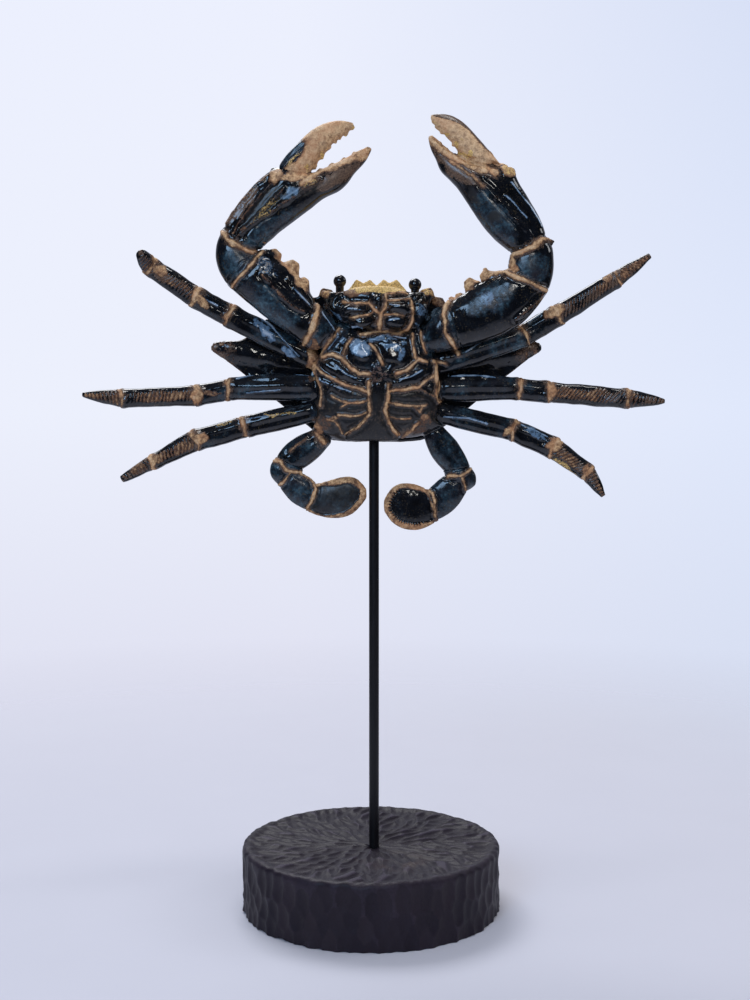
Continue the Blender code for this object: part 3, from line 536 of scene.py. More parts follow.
class Skin:
    """A fused mesh, and the fields over its vertices in millimetres."""

    def __init__(self, label, names, mesh):
        self.label, self.names, self.mesh = label, names, mesh
        self.points = read(mesh.vertices, "co") * MM
        self.normals = read(mesh.vertex_normals, "vector")
        count = len(self.points)
        self.lift = np.zeros(count)
        # Masks of the glaze's look; the pale-glaze mask also holds painted highlights.
        self.masks = {name: np.zeros(count)
                      for name in ("clay", "gold", "frost", "blue", "satin", "brown")}

    def waves(self, pitch):
        return waves(self.points, pitch)

    def grains(self, pitch):
        return grains(self.points, pitch)

    def front(self):
        return ease(0.0, 0.4, -self.normals[:, 1])

    def flanks(self):
        """1 on the faces that look forwards or back, 0 on the edges between."""
        return ease(0.0, 0.4, np.abs(self.normals[:, 1]))

    def nearest_to(self, wanted):
        """1 for the vertices that are nearer to this node than to the skin's others."""
        meshes = {name: rounded(name, 0.0) for name in self.names}
        tree = KDTree(sum(len(mesh.vertices) for mesh in meshes.values()))
        for name, mesh in meshes.items():
            for vert in mesh.vertices:
                tree.insert(vert.co, int(name == wanted))
            bpy.data.meshes.remove(mesh)
        tree.balance()
        return np.array([float(tree.find(point)[1]) for point in self.points / MM])

    def raise_mask(self, name, values):
        self.masks[name] = np.maximum(self.masks[name], values)

    def lower_mask(self, name, values):
        self.masks[name] *= 1 - values

    def draw_lines(self, lines, weight, valley=0.35, dome=0.0):
        """Raised lines with a shallow valley at their feet and plates that swell between."""
        points = drifted(self.points, 4.0, 0.45)
        ridge = np.zeros(len(points))
        nearest = np.full(len(points), FAR)
        thin = 1 + 0.35 * self.waves(2.6) + 0.30 * self.waves(9.0)
        for line in lines:
            distance = from_path(points, line.path) + 0.24 * grains(points, 1.4)
            width = line.width * thin
            ridge = np.maximum(ridge, line.height * bell(distance, width * 0.85))
            worn = line.clay * (1.22 + 0.40 * self.grains(3.2))
            self.raise_mask("clay", weight * worn * bell(distance, width * 0.84))
            if line.clay > 0.5:
                self.raise_mask("brown", weight * 0.76 * bell(distance, width * 2.2))
            if line.height:
                nearest = np.minimum(nearest, distance)
        sunk = -valley * bell(nearest - 2.0, 0.9)
        self.lift += weight * (ridge + sunk + dome * (1 - bell(nearest, 2.8)))

    def draw_glints(self, paths, weight):
        """Thin raised ridges, each with a painted highlight along its top: a pale line that
        stands in for light caught on the edge.
        """
        for path in paths:
            distance = from_path(self.points, path) + 0.2 * self.waves(3.0)
            self.lift += weight * 0.35 * bell(distance, 0.7)
            self.raise_mask("frost", weight * 1.3 * bell(distance, 0.36))

    def draw_patches(self, patches, weight):
        points = drifted(drifted(self.points, 6.0, 1.2), 2.4, 1.0)
        for patch in patches:
            amount = patch.cover(points) * weight
            self.lift += patch.lift * amount
            for name, strength in patch.masks.items():
                self.raise_mask(name, strength * amount)

    def add_grain(self, coarse, fine=0.03, calm=()):
        """The unevenness that a hand-finished piece keeps under its glaze, but not over
        its calm patches."""
        rough = coarse * (self.waves(7.5) + 0.4 * self.grains(3.6)) + fine * self.waves(1.7)
        for patch in calm:
            rough *= 1 - patch.cover(self.points)
        clay = self.masks["clay"] * (0.05 + 0.10 * self.grains(1.1))
        self.lift += rough + clay + self.masks["gold"] * 0.22 * self.grains(0.9)

    def finish(self, glaze):
        """Push the skin to its relief, and hand it to the frame."""
        move(self.mesh, self.points + self.normals * self.lift[:, None])
        add_fields(self.mesh, {name: np.clip(values, 0, MOST_WORN)
                               for name, values in self.masks.items()})
        keep_piece(self.label, self.mesh, glaze, self.names)


def keep_piece(label, mesh, material, names):
    mesh.materials.clear()
    mesh.materials.append(material)
    mesh.shade_smooth()
    piece = linked(label, mesh)
    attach(piece, "root")
    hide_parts(*names)


# ---- limbs ----

Joint = namedtuple("Joint", "centre normal side half")


def end_caps(name):
    """The flat ends of a limb piece: (centre, normal, half width across)."""
    shape = merged(name)
    bmesh.ops.dissolve_limit(shape, angle_limit=math.radians(0.6), verts=shape.verts,
                             edges=shape.edges, use_dissolve_boundaries=False)
    caps = []
    for face in shape.faces:
        if len(face.verts) >= CAP_SIDES:
            centre = np.array(face.calc_center_median()) * MM
            normal = np.array(face.normal)
            side = np.cross(normal, (0, 1, 0))
            side /= np.linalg.norm(side)
            half = max(abs((np.array(v.co) * MM - centre) @ side) for v in face.verts)
            caps.append(Joint(centre, normal, side, half))
    shape.free()
    return caps


class Span:
    """A limb piece between its two joints, with its own measures along and across."""

    def __init__(self, name, origin, hint):
        self.name = name
        ends = sorted(end_caps(name), key=lambda cap: np.linalg.norm(cap.centre - origin))
        near, far = ends[0], ends[-1]
        axis = far.centre - near.centre
        self.length = np.linalg.norm(axis)
        self.near = self.turned_to(near, axis, hint)
        self.far = self.turned_to(far, axis, self.near.side)

    @staticmethod
    def turned_to(joint, axis, hint):
        normal = joint.normal * math.copysign(1, joint.normal @ axis)
        side = joint.side * math.copysign(1, joint.side @ hint)
        return Joint(joint.centre, normal, side, joint.half)

    def measure(self, points):
        """Each point's share along, its distance across, that over the half width, and
        its distance from the axis over the half width."""
        before = (points - self.near.centre) @ self.near.normal
        after = (self.far.centre - points) @ self.far.normal
        along = np.clip(before / np.maximum(before + after, 0.1), 0, 1)
        share = along[:, None]
        middle = self.near.centre * (1 - share) + self.far.centre * share
        side = self.near.side * (1 - share) + self.far.side * share
        side /= np.linalg.norm(side, axis=1)[:, None]
        off = points - middle
        across = (off * side).sum(axis=1)
        half = self.near.half * (1 - along) + self.far.half * along
        return along, across, across / half, np.linalg.norm(off, axis=1) / half


def chain(names, origin, hint):
    spans = []
    for name in names:
        spans.append(Span(name, origin, hint))
        origin, hint = spans[-1].far.centre, spans[-1].far.side
    return spans


class Limb:
    """Which span each vertex of a skin belongs to, and where on it."""

    def __init__(self, skin, spans):
        self.skin, self.spans = skin, spans
        measures = [span.measure(skin.points) for span in spans]
        apart = np.stack([measure[3] for measure in measures])
        self.owner = apart.argmin(axis=0)
        self.apart = apart.min(axis=0)
        rows = np.arange(len(self.owner))
        self.along, self.across, self.rel = (
            np.stack([measure[i] for measure in measures])[self.owner, rows] for i in range(3))

    def facing(self):
        """How far each vertex's skin looks towards the side of its span."""
        sides = np.stack([span.near.side + span.far.side for span in self.spans])
        sides /= np.linalg.norm(sides, axis=1)[:, None]
        return (self.skin.normals * sides[self.owner]).sum(axis=1)

    def on(self, *kinds):
        """1 for the vertices of spans whose names hold one of these words."""
        held = np.array([any(kind in span.name for kind in kinds) for span in self.spans])
        return held[self.owner].astype(float)

    def mid(self, fade):
        return ease(0, fade, self.along) * ease(0, fade, 1 - self.along)

    def length(self):
        return np.array([span.length for span in self.spans])[self.owner]

    def three_joints(self):
        return self.spans[0].near, self.spans[0].far, self.spans[1].far

    def collars(self, joints, height, bare=0.0):
        """A swollen band at each joint with one fine crease. Over about this many bare
        millimetres the glaze runs thin."""
        skin = self.skin
        wobble = 1.5 * skin.waves(5.0) + 0.6 * skin.grains(2.4)
        for joint in joints:
            off = skin.points - joint.centre
            depth = off @ joint.normal
            across = off @ joint.side / joint.half
            radial = np.linalg.norm(off - depth[:, None] * joint.normal, axis=1)
            near = 1 - ease(1.35, 1.7, radial / max(joint.half, 3.0))
            depth = depth + wobble - 0.8 * across ** 2
            skin.lift += near * (height * bell(depth + 1.4, 2.6) - 0.35 * bell(depth - 0.5, 0.5))
            if bare:
                wide = bare * (1.0 + 0.45 * across + 0.3 * skin.waves(3.1))
                amount = near * bell(depth, np.maximum(wide * 1.2, 0.3))
                skin.raise_mask("clay", amount * (1.05 + 0.60 * skin.grains(2.2)))
                skin.raise_mask("brown", near * 0.75 * bell(depth, wide * 3.0))

    def keel(self, weight, place, height, width=0.15):
        """A lengthwise ridge at this share of the half width, with a hollow on each side."""
        off = self.rel + 0.06 * self.skin.waves(9.0) - place
        ridge = bell(off, width) - 0.7 * bell(np.abs(off) - 2.4 * width, width)
        self.skin.lift += weight * height * ridge

    def hatching(self, weight, slant, reach, cross=0.0):
        """Fine ribs across a face: the tops bare, the glaze lying between them."""
        skin = self.skin
        run = self.along * self.length() + 0.5 * skin.waves(4.0) + 0.35 * skin.grains(2.0)
        ribs = np.cos(TURN * (run + slant * self.across) / RIB_PITCH)
        if cross:
            other = np.cos(TURN * (run - slant * 3 * self.across) / RIB_PITCH)
            ribs = ribs * (1 - cross) + other * cross
        inside = 1 - ease(reach - 0.2, reach + 0.2, np.abs(self.rel) + 0.2 * skin.waves(4.0))
        amount = weight * inside * self.mid(0.08) * skin.flanks()
        skin.lift += amount * RIB_HEIGHT * ribs
        skin.raise_mask("clay", amount * (0.40 + 0.14 * ribs + 0.30 * skin.waves(5.0)))
        stain = 0.58 + 0.25 * ribs + 0.45 * skin.waves(6.0)
        skin.raise_mask("brown", weight * (0.35 + 0.65 * inside) * stain)


# ---- shader nodes ----

class Wire:
    """An output socket. Sums of wires and numbers add Math nodes."""

    def __init__(self, paint, socket):
        self.paint, self.socket = paint, socket

    def __add__(self, other):
        return self.paint.math("ADD", self, other)

    def __sub__(self, other):
        return self.paint.math("SUBTRACT", self, other)

    def __rsub__(self, other):
        return self.paint.math("SUBTRACT", other, self)

    def __mul__(self, other):
        return self.paint.math("MULTIPLY", self, other)

    __radd__ = __add__
    __rmul__ = __mul__

    def between(self, low, high):
        """Rise from 0 to 1 between two values."""
        return self.paint.node("MapRange", {"clamp": True},
                               {"Value": self, "From Min": low, "From Max": high})


class Paint:
    """A node tree, its shader's sockets and the one way in which nodes are added to it."""

    def __init__(self, tree, shader="Principled BSDF"):
        self.tree, self.shader = tree, tree.nodes[shader].inputs

    def node(self, kind, settings=None, inputs=None, output=0):
        made = self.tree.nodes.new("ShaderNode" + kind)
        for key, value in (settings or {}).items():
            if key == "stops":
                self.set_stops(made.color_ramp, value)
            else:
                setattr(made, key, value)
        for key, value in (inputs or {}).items():
            self.feed(made.inputs[key], value)
        return Wire(self, made.outputs[output])

    def feed(self, socket, value):
        if isinstance(value, Wire):
            self.tree.links.new(value.socket, socket)
        else:
            socket.default_value = value

    @staticmethod
    def set_stops(ramp, stops):
        while len(ramp.elements) < len(stops):
            ramp.elements.new(1.0)
        for element, (place, colour) in zip(ramp.elements, stops):
            element.position = place
            element.color = (*colour, 1.0)

    def math(self, operation, a, b):
        return self.node("Math", {"operation": operation}, {0: a, 1: b})

    def mix(self, factor, a, b):
        a, b = ((*c, 1.0) if isinstance(c, tuple) else c for c in (a, b))
        return self.node("Mix", {"data_type": "RGBA"}, {0: factor, 6: a, 7: b}, 2)

    def coats(self, colour, *coats):
        """Each coat, an amount and a colour, lies over the one before."""
        for amount, coat in coats:
            colour = self.mix(amount, colour, coat)
        return colour

    def place(self):
        return self.node("TexCoord", output="Object")

    def noise(self, size, detail=2.0, roughness=0.5, where=None):
        """Cloudy noise whose lumps are about this many millimetres across."""
        return self.node("TexNoise", inputs={"Vector": where or self.place(),
                                             "Scale": MM / size, "Detail": detail,
                                             "Roughness": roughness})

    def mask(self, name):
        return self.node("Attribute", {"attribute_name": name}, output="Fac")

    def surface(self, colour, roughness, height, depth):
        """Feed the shader, with this many millimetres between the ends of the height."""
        self.feed(self.shader["Base Color"], colour)
        self.feed(self.shader["Roughness"], roughness)
        bump = self.node("Bump", inputs={"Height": height, "Distance": depth / MM})
        self.feed(self.shader["Normal"], bump)


def new_material(name, **fixed):
    """A material whose shader has these fixed values."""
    material = bpy.data.materials.new(name)
    material.use_nodes = True
    paint = Paint(material.node_tree)
    for key, value in fixed.items():
        paint.shader[key.replace("_", " ")].default_value = value
    return material, paint


def glaze_material():
    """Dark blue glaze that thins to bare tan clay over the raised parts, with painted highlights
    laid into its colour.
    """
    material, paint = new_material("dark_blue_glaze", IOR=1.6)
    fine = paint.noise(0.6, 3.0, 0.7)
    mid = paint.noise(1.7, 4.0, 0.6)
    wide = paint.noise(6.0, 4.0, 0.6)
    break_up = 0.75 * (fine - 0.5) + 0.85 * (mid - 0.5)
    clay = paint.mask("clay") + break_up
    satin = paint.mask("satin")
    gold = (paint.mask("gold") + break_up).between(0.40, 0.62)
    # Painted highlight: this mask lays pale blue reflections of the window into the colour; in
    # places it is also glaze run thin and pale.
    frost = (paint.mask("frost") + break_up * 1.8).between(0.40, 0.80)
    blue = (paint.mask("blue") + (wide - 0.5) * 1.2).between(0.15, 0.75)
    brown = (paint.mask("brown") + break_up).between(0.40, 0.75)
    dark = paint.mix(wide.between(0.35, 0.65), (0.0030, 0.0034, 0.0048),
                     (0.0065, 0.0085, 0.0130))
    cloud = paint.node("ValToRGB", {"stops": (
        (0.34, (0.004, 0.007, 0.013)), (0.46, (0.010, 0.023, 0.038)),
        (0.56, (0.024, 0.060, 0.090)), (0.70, (0.080, 0.160, 0.210)))},
        {"Fac": mid * 0.6 + wide * 0.4})
    violet = paint.mix(paint.noise(9.0, 2.0).between(0.45, 0.70), cloud, (0.018, 0.017, 0.026))
    fleck = paint.noise(0.9, 2.0, 0.6).between(0.57, 0.68)
    fleck = fleck * paint.noise(8.0, 2.0).between(0.36, 0.60)
    # Painted highlight: a whiter core where the pale mask runs highest.
    pale = (paint.mask("frost") + break_up * 0.8).between(0.90, 1.20)
    bare = paint.node("ValToRGB", {"stops": (
        (0.26, (0.160, 0.070, 0.030)), (0.40, (0.400, 0.210, 0.095)),
        (0.54, (0.620, 0.370, 0.180)), (0.72, (0.780, 0.540, 0.290)))},
        {"Fac": mid * 0.6 + fine * 0.4})
    bare = paint.coats(
        bare,
        (paint.noise(3.4, 5.0, 0.68).between(0.56, 0.36) * 0.55, (0.150, 0.066, 0.030)),
        (paint.noise(8.0, 2.0).between(0.50, 0.62) * 0.6, (0.520, 0.230, 0.095)),
        (clay.between(0.95, 1.45) * 0.5, (0.82, 0.60, 0.39)))
    umber = paint.mix(fine.between(0.35, 0.65), (0.050, 0.030, 0.024), (0.240, 0.150, 0.100))
    rim = paint.mix(clay.between(0.50, 0.98), (0.120, 0.048, 0.022), bare)
    gilt = paint.mix(fine.between(0.36, 0.60), (0.24, 0.130, 0.036), (0.92, 0.62, 0.21))
    colour = paint.coats(
        dark, (blue * 0.92, violet), (satin * 0.9, (0.0100, 0.0085, 0.0095)),
        (fleck * 0.65, (0.075, 0.058, 0.034)), (frost * 0.8, (0.14, 0.24, 0.38)),
        (pale * 0.8, (0.42, 0.50, 0.60)), (brown * 0.85, umber),
        (clay.between(0.32, 0.50), rim), (gold, gilt))
    matt = paint.math("MAXIMUM", clay.between(0.36, 0.60), gold)
    rough = 0.07 + 0.20 * blue + 0.32 * satin + 0.22 * brown
    relief = paint.noise(4.5, 1.0) * 0.34 + paint.noise(1.8, 2.0) * 0.10 + matt * fine * 0.7
    paint.surface(colour, rough + (0.62 - rough) * matt, relief, 0.45)
    return material


def eye_material():
    material, paint = new_material("black_eye_glaze", IOR=1.6)
    cloud = paint.noise(3.0)
    colour = paint.mix(cloud, (0.003, 0.003, 0.004), (0.012, 0.012, 0.016))
    paint.surface(colour, 0.05 + 0.05 * cloud, paint.noise(1.5), 0.05)
    return material


def steel_material():
    material, paint = new_material("satin_black_steel", Metallic=0.3)
    streak = paint.node("Mapping", inputs={"Vector": paint.place(), "Scale": (1.0, 1.0, 0.12)})
    cloud = paint.noise(1.2, 4.0, where=streak)
    colour = paint.mix(cloud, (0.004, 0.004, 0.006), (0.010, 0.010, 0.014))
    paint.surface(colour, 0.30 + 0.15 * cloud, cloud, 0.02)
    return material


def wood_material():
    """Charcoal-stained wood, paler on the ridges of its chisel marks: partly rubbed wear, partly
    a painted highlight where raking light would catch them.
    """
    material, paint = new_material("charcoal_wood", Specular_IOR_Level=0.22)
    grain_place = paint.node("Mapping", inputs={"Vector": paint.place(),
                                                "Scale": (1.0, 0.14, 1.0)})
    grain = paint.noise(1.3, 5.0, 0.65, grain_place)
    pores = paint.noise(0.5, 2.0)
    wide = paint.noise(22.0, 3.0)
    tone = grain * 0.5 + wide * 0.5
    colour = paint.mix(tone.between(0.3, 0.7), (0.0088, 0.0054, 0.0102), (0.0210, 0.0140, 0.0270))
    side_tone = paint.mix(paint.mask("tone"), (0.0085, 0.0068, 0.0130), (0.0245, 0.0178, 0.0245))
    # Partly painted highlight: the carved ridges are lighter.
    ridge = (paint.mask("ridge") + (grain - 0.5) * 0.5).between(0.45, 0.95)
    colour = paint.coats(colour, (0.5, side_tone), (ridge * 0.42, (0.064, 0.050, 0.080)),
                         (paint.mask("worn") * (0.4 + grain * 0.5), (0.060, 0.036, 0.031)))
    paint.surface(colour, 0.40 + 0.15 * grain, grain * 0.6 + pores * 0.4, 0.12)
    return material


# ---- the ceramic ----

def meri():
    """The spans that grow out of the body."""
    spans = []
    for side in SIDES:
        spans += chain(["cheliped_ischium_" + side], BODY_CENTRE, (0, 0, -1))
        spans += chain(["swimmer_merus_" + side], BODY_CENTRE, (OUTWARD[side], 0, 0))
    spans += [chain(["leg_merus_%d_%s" % leg], BODY_CENTRE, (0, 0, 1))[0] for leg in LEGS]
    return spans


def body(glaze):
    spans = meri()
    names = ["thorax", "face", "abdomen", "maxilliped_right", "maxilliped_left", "antennules"]
    names += [span.name for span in spans]
    mesh = fused("underside", names, BODY_VOXEL, 0.32, 4)
    skin = Skin("underside", names, softened_roots(mesh, spans))
    limb = Limb(skin, spans)
    core = ease(1.25, 1.6, limb.apart)
    front = skin.front()
    low = 1 - ease(*ABDOMEN_TOP, skin.points[:, 2])
    skin.draw_lines(MOUTH_LINES + CHEST_LINES, front, dome=0.7 - 0.55 * low)
    skin.raise_mask("satin", 0.9 * front * low * core)
    skin.raise_mask("brown", front * core * (0.20 + 0.10 * low + 0.14 * skin.waves(5.0)))
    skin.draw_lines(tuple(ROOT_LINES.values()), front, valley=0.2)
    skin.draw_patches(CHEST_PATCHES, front)
    skin.draw_glints(FACE_GLINTS, front)
    outer = 1 - core
    legs = outer * limb.on("leg_merus") * skin.flanks()
    limb.keel(legs * limb.mid(0.16), 0.3, 0.5, 0.22)
    skin.draw_glints(LEG_GLINTS, legs)
    skin.draw_patches(LEG_PATCHES, legs)
    paddles = outer * limb.on("swimmer_merus") * skin.flanks()
    limb.keel(paddles * limb.mid(0.2), 0.45, 0.3)
    skin.draw_lines(SWIM_LINES["right"] + SWIM_LINES["left"], paddles)
    skin.raise_mask("blue", 0.35 * paddles)
    tinge = 0.14 + 0.16 * (skin.points[:, 0] > BODY_X) + 0.6 * skin.waves(9.0)
    skin.raise_mask("blue", outer * limb.on("leg_merus") * tinge)
    skin.raise_mask("blue", 0.4 * outer * limb.on("ischium"))
    limb.collars([span.far for span in spans if "leg_merus" in span.name], 0.45, 1.0)
    for x, z in EYE_HOLLOWS:
        swirl(skin, x, z, front)
    brow(skin)
    orbits(skin)
    skin.add_grain(0.18, calm=[patch for patch in CHEST_PATCHES if patch.lift > 1.0])
    skin.finish(glaze)


def softened_roots(mesh, spans):
    """Smooth the skin round every limb's root until it runs into the body."""
    thing = linked("roots", mesh)
    points = read(mesh.vertices, "co") * MM
    weight = np.zeros(len(points))
    for span in spans:
        away = np.linalg.norm(points - span.near.centre, axis=1)
        weight = np.maximum(weight, 1 - ease(span.near.half * 1.1, span.near.half * 2.0, away))
    group = thing.vertex_groups.new(name="roots")
    for level in range(1, 11):
        held = np.flatnonzero(np.round(weight * 10) == level)
        group.add(held.tolist(), level / 10, "REPLACE")
    soften = thing.modifiers.new("Roots", "SMOOTH")
    soften.vertex_group = "roots"
    soften.factor = 0.5
    soften.iterations = 18
    return applied(thing)


def swirl(skin, x, z, weight):
    """The ringed hollow under an eye."""
    away = np.hypot(skin.points[:, 0] - x, skin.points[:, 2] - z)
    away = away + 0.8 * skin.waves(3.0)
    skin.lift += weight * 0.55 * np.cos(away * 2.0) * bell(away, 4.5)


def brow(skin):
    """Rough gold clay over the brow, between the eyes."""
    x, y, z = skin.points.T
    wander = 1.2 * skin.waves(3.0)
    band = ease(310.2, 312.0, z + wander) * (1 - ease(13.2, 15.2, np.abs(x - 3.2) + wander))
    skin.raise_mask("gold", band * (1 - ease(7.0, 9.5, y)))
    skin.lift += 0.25 * band


def orbits(skin):
    """Rough bare clay on the blunt teeth beside the eyes and round the sockets."""
    skin.draw_patches(ORBIT_PATCHES, 1)


def claw(side, glaze):
    """A whole arm: merus, carpus, palm with its fixed finger, and the moving finger."""
    right = side == "right"
    names = ["cheliped_%s_%s" % (part, side) for part in ("merus", "carpus", "palm", "finger")]
    spans = chain(names[:3], sum(box("cheliped_ischium_" + side)) / 2, (0, 0, -1))
    spans += chain(names[3:], spans[2].near.centre, (OUTWARD[side], 0, 0))
    hinge = spans[3].near
    depth = hinge.centre[1]
    knuckles, teeth = [(hinge.centre, hinge.half * (0.9 if right else 0.7))], []
    if not right:
        knuckles += [((x, depth, z), 3.0) for x, z in LEFT_FILLS]
        teeth = [((u, depth, v), (x, depth, z), radius) for (u, v), (x, z), radius in LEFT_TEETH]
    mesh = fused("claw_" + side, names, CLAW_VOXEL, 0.5, 3, knuckles, teeth)
    skin = Skin("claw_" + side, names, mesh)
    limb = Limb(skin, spans)
    flanks = skin.flanks()
    skin.draw_patches(CLAW_PATCHES[side], flanks)
    skin.draw_lines(CLAW_LINES[side] + (ROOT_LINES[side],), flanks, valley=0.3)
    skin.draw_glints(CLAW_GLINTS[side], flanks)
    limb.collars(limb.three_joints(), 0.3)
    # The merus teeth stand on its inner edge, bare over their tops.
    inner = limb.on("merus") * (ease(0.1, 0.25, limb.along) if right else 1)
    skin.raise_mask("clay", inner * ease(0.86, 1.10, -limb.rel + 0.12 * skin.waves(3.0)))
    fixed = limb.on("palm") * ease(0.62, 0.72, limb.along)
    skin.raise_mask("clay", fixed * ease(0.25, 0.55, limb.facing()))
    paint_finger(skin, limb, skin.nearest_to("cheliped_finger_" + side), right)
    skin.add_grain(0.15)
    skin.finish(glaze)


def paint_finger(skin, limb, finger, right):
    """The moving finger is bare, and its gape is knobbly and touched with gold."""
    skin.raise_mask("clay", finger * (1.15 if right else 1.25))
    gape = finger * ease(0.25, 0.6, -limb.rel)
    skin.lift += gape * 0.5 * skin.waves(1.8)
    skin.raise_mask("gold", 0.62 * gape * ease(0, 0.4, skin.grains(2.2)))
    if right:
        dark = finger * DARK_PATCH.cover(drifted(skin.points, 3.0, 0.8))
        skin.lower_mask("clay", dark)
        skin.raise_mask("blue", dark)
        skin.lift += dark * 0.4 * np.cos(limb.across * 1.6)
        skin.draw_patches(FINGER_MARKS, finger * skin.flanks())
    else:
        rim = np.maximum(ease(0.66, 0.84, limb.rel + 0.08 * skin.waves(3.0)),
                         ease(0.5, 0.8, limb.facing()))
        rim *= finger * ease(0.05, 0.2, limb.along)
        skin.lower_mask("clay", rim)
        skin.raise_mask("brown", rim * 0.9)


def leg_skin(label, names, hint):
    skin = Skin(label, names, fused(label, names, LEG_VOXEL, 0.3, 4))
    return skin, Limb(skin, chain(names, BODY_CENTRE, hint))


def leg(number, side, glaze):
    names = ["leg_%s_%d_%s" % (part, number, side) for part in ("carpus", "propodus", "dactyl")]
    skin, limb = leg_skin("leg_%d_%s" % (number, side), names, (0, 0, 1))
    carpus = limb.on("carpus") * skin.flanks()
    limb.keel(carpus * limb.mid(0.2), 0.35, 0.25)
    skin.draw_patches(LEG_PATCHES, skin.flanks())
    skin.draw_glints(LEG_GLINTS, carpus)
    limb.hatching(limb.on("propodus"), RIB_SLANT[side], reach=0.6)
    limb.hatching(limb.on("dactyl"), -0.3, reach=0.8, cross=CROSSED.get((number, side), 0.0))
    skin.raise_mask("blue", carpus * (0.10 + 0.5 * skin.waves(7.0)))
    limb.collars(limb.three_joints(), 0.6, 1.2)
    skin.add_grain(0.34, 0.04)
    skin.finish(glaze)


def paddle_leg(side, glaze):
    look = PADDLES[side]
    names = ["swimmer_%s_%s" % (part, side) for part in ("carpus", "propodus", "paddle")]
    skin, limb = leg_skin("paddle_leg_" + side, names, (OUTWARD[side], 0, 0))
    flanks = skin.flanks()
    limb.collars(limb.three_joints(), 0.3)
    skin.draw_lines(SWIM_LINES[side], flanks)
    skin.raise_mask("blue", look.blue * flanks)
    blade = skin.nearest_to("swimmer_paddle_" + side)
    rim = paddle_rim(skin, blade, look)
    glazed = blade * flanks * (1 - rim)
    skin.raise_mask("clay", rim * (0.80 + 0.40 * skin.grains(2.0)))
    skin.raise_mask("brown", rim)
    skin.lift += 0.5 * rim - 0.3 * glazed
    skin.raise_mask("satin", look.satin * glazed)
    skin.lower_mask("blue", look.less_blue * blade)
    skin.add_grain(0.22, 0.05)
    skin.finish(glaze)


def paddle_rim(skin, blade, look):
    """1 on the paddle's bare rim, 0 on its glazed middle. One way the rim is thickest, and
    there its inner edge is cut into a fringe of ribs."""
    held = blade > 0
    flat = skin.points[:, (0, 2)]
    off = flat - flat[held].mean(axis=0)
    angle = np.arctan2(off[:, 1], off[:, 0])
    away = np.hypot(*off.T)
    slots = ((angle + math.pi) / TURN * RIM_SLOTS).astype(int) % RIM_SLOTS
    edge = np.array([away[held & (slots == i)].max() for i in range(RIM_SLOTS)])
    middles = (np.arange(RIM_SLOTS) + 0.5) / RIM_SLOTS * TURN - math.pi
    reach = np.interp(angle, middles, edge, period=TURN)
    towards = np.cos(angle - look.thickest)
    ribs = np.cos(angle * RIM_RIBS + 2.0 * skin.waves(6.0)) * ease(0.4, 0.9, away / reach)
    ribs *= look.fringe * ease(-0.3, 0.5, towards + 0.4 * skin.waves(4.0))
    inner = 2.1 + 0.9 * skin.waves(5.0) + ribs + 0.7 * towards
    return blade * ease(-0.5, 0.5, away - reach + inner)


def shell(glaze):
    """The back shell: nine-toothed edge, domed regions, grooves and rows of granules."""
    names = ["carapace"]
    skin = Skin("carapace_shell", names, fused("carapace_shell", names, SHELL_VOXEL, 0.4, 4))
    x, y, z = skin.points.T
    out = np.abs(x - SHELL_X)
    half = np.stack([out, y, z], axis=1)
    back = ease(0.1, 0.6, skin.normals[:, 1])
    wandering = drifted(half, 5.0, 0.6)
    ridge = np.zeros(len(x))
    for path, width, height in SHELL_RIDGES:
        ridge = np.maximum(ridge, height * bell(from_path(wandering, path), width))
    beads = 0.5 + 0.5 * np.cos(TURN * (out + 0.4 * z) / BEAD_PITCH)
    skin.lift += back * ridge * (0.7 + 0.5 * beads)
    skin.raise_mask("clay", back * np.minimum(1, ridge * 1.5) * (0.62 + 0.3 * beads))
    for path, width, depth in SHELL_GROOVES:
        away = from_path(wandering, path)
        skin.lift -= back * depth * bell(away, width)
        skin.raise_mask("blue", back * 0.5 * bell(away, width * 1.4))
    for (u, v), radius, height in SHELL_LUMPS:
        away = np.hypot(out - u, z - v)
        skin.lift += back * height * bell(away, radius)
        skin.raise_mask("blue", back * 0.8 * bell(away, radius * 0.8))
    edge = 1 - ease(0.30, 0.75, np.abs(skin.normals[:, 1]))
    front_half = ease(288, 296, z + 0.1 * out)
    skin.raise_mask("clay", edge * front_half * (0.75 + 0.3 * skin.waves(3.0)))
    skin.raise_mask("clay", edge * 0.55 * (1 - front_half))
    below = ease(0.1, 0.6, -skin.normals[:, 1])
    keel = from_path(wandering, UNDER_KEEL)
    skin.lift += below * (1.6 * bell(keel, 4.5) - 0.6 * bell(keel - 7.5, 3.0))
    skin.lift += below * 0.18 * skin.waves(5.0)
    tips = ease(62, 78, out)
    skin.raise_mask("clay", tips * (0.25 + 0.4 * skin.grains(1.3)))
    skin.raise_mask("brown", tips * (0.6 + 0.5 * skin.waves(5.0)))
    skin.lift += tips * 0.08 * skin.grains(1.2)
    skin.lift += back * (0.45 * waves(half, 9.0) + 0.10 * np.abs(skin.grains(2.0)))
    skin.raise_mask("brown", back * (0.30 + 0.5 * waves(half + 50, 12.0)))
    # Painted highlight: a pale line along the flanks of each ridge.
    skin.raise_mask("frost", back * 0.5 * bell(np.abs(ridge - 0.25), 0.12) * (ridge > 0.05))
    brow(skin)
    orbits(skin)
    skin.add_grain(0.2, 0.03)
    skin.finish(glaze)


# ---- turned pieces ----

def arc(r, z, radius, first, last, steps):
    """Points of a profile round (r, z), between two angles in degrees."""
    return [(r + radius * math.cos(a), z + radius * math.sin(a))
            for a in np.radians(np.linspace(first, last, steps))]


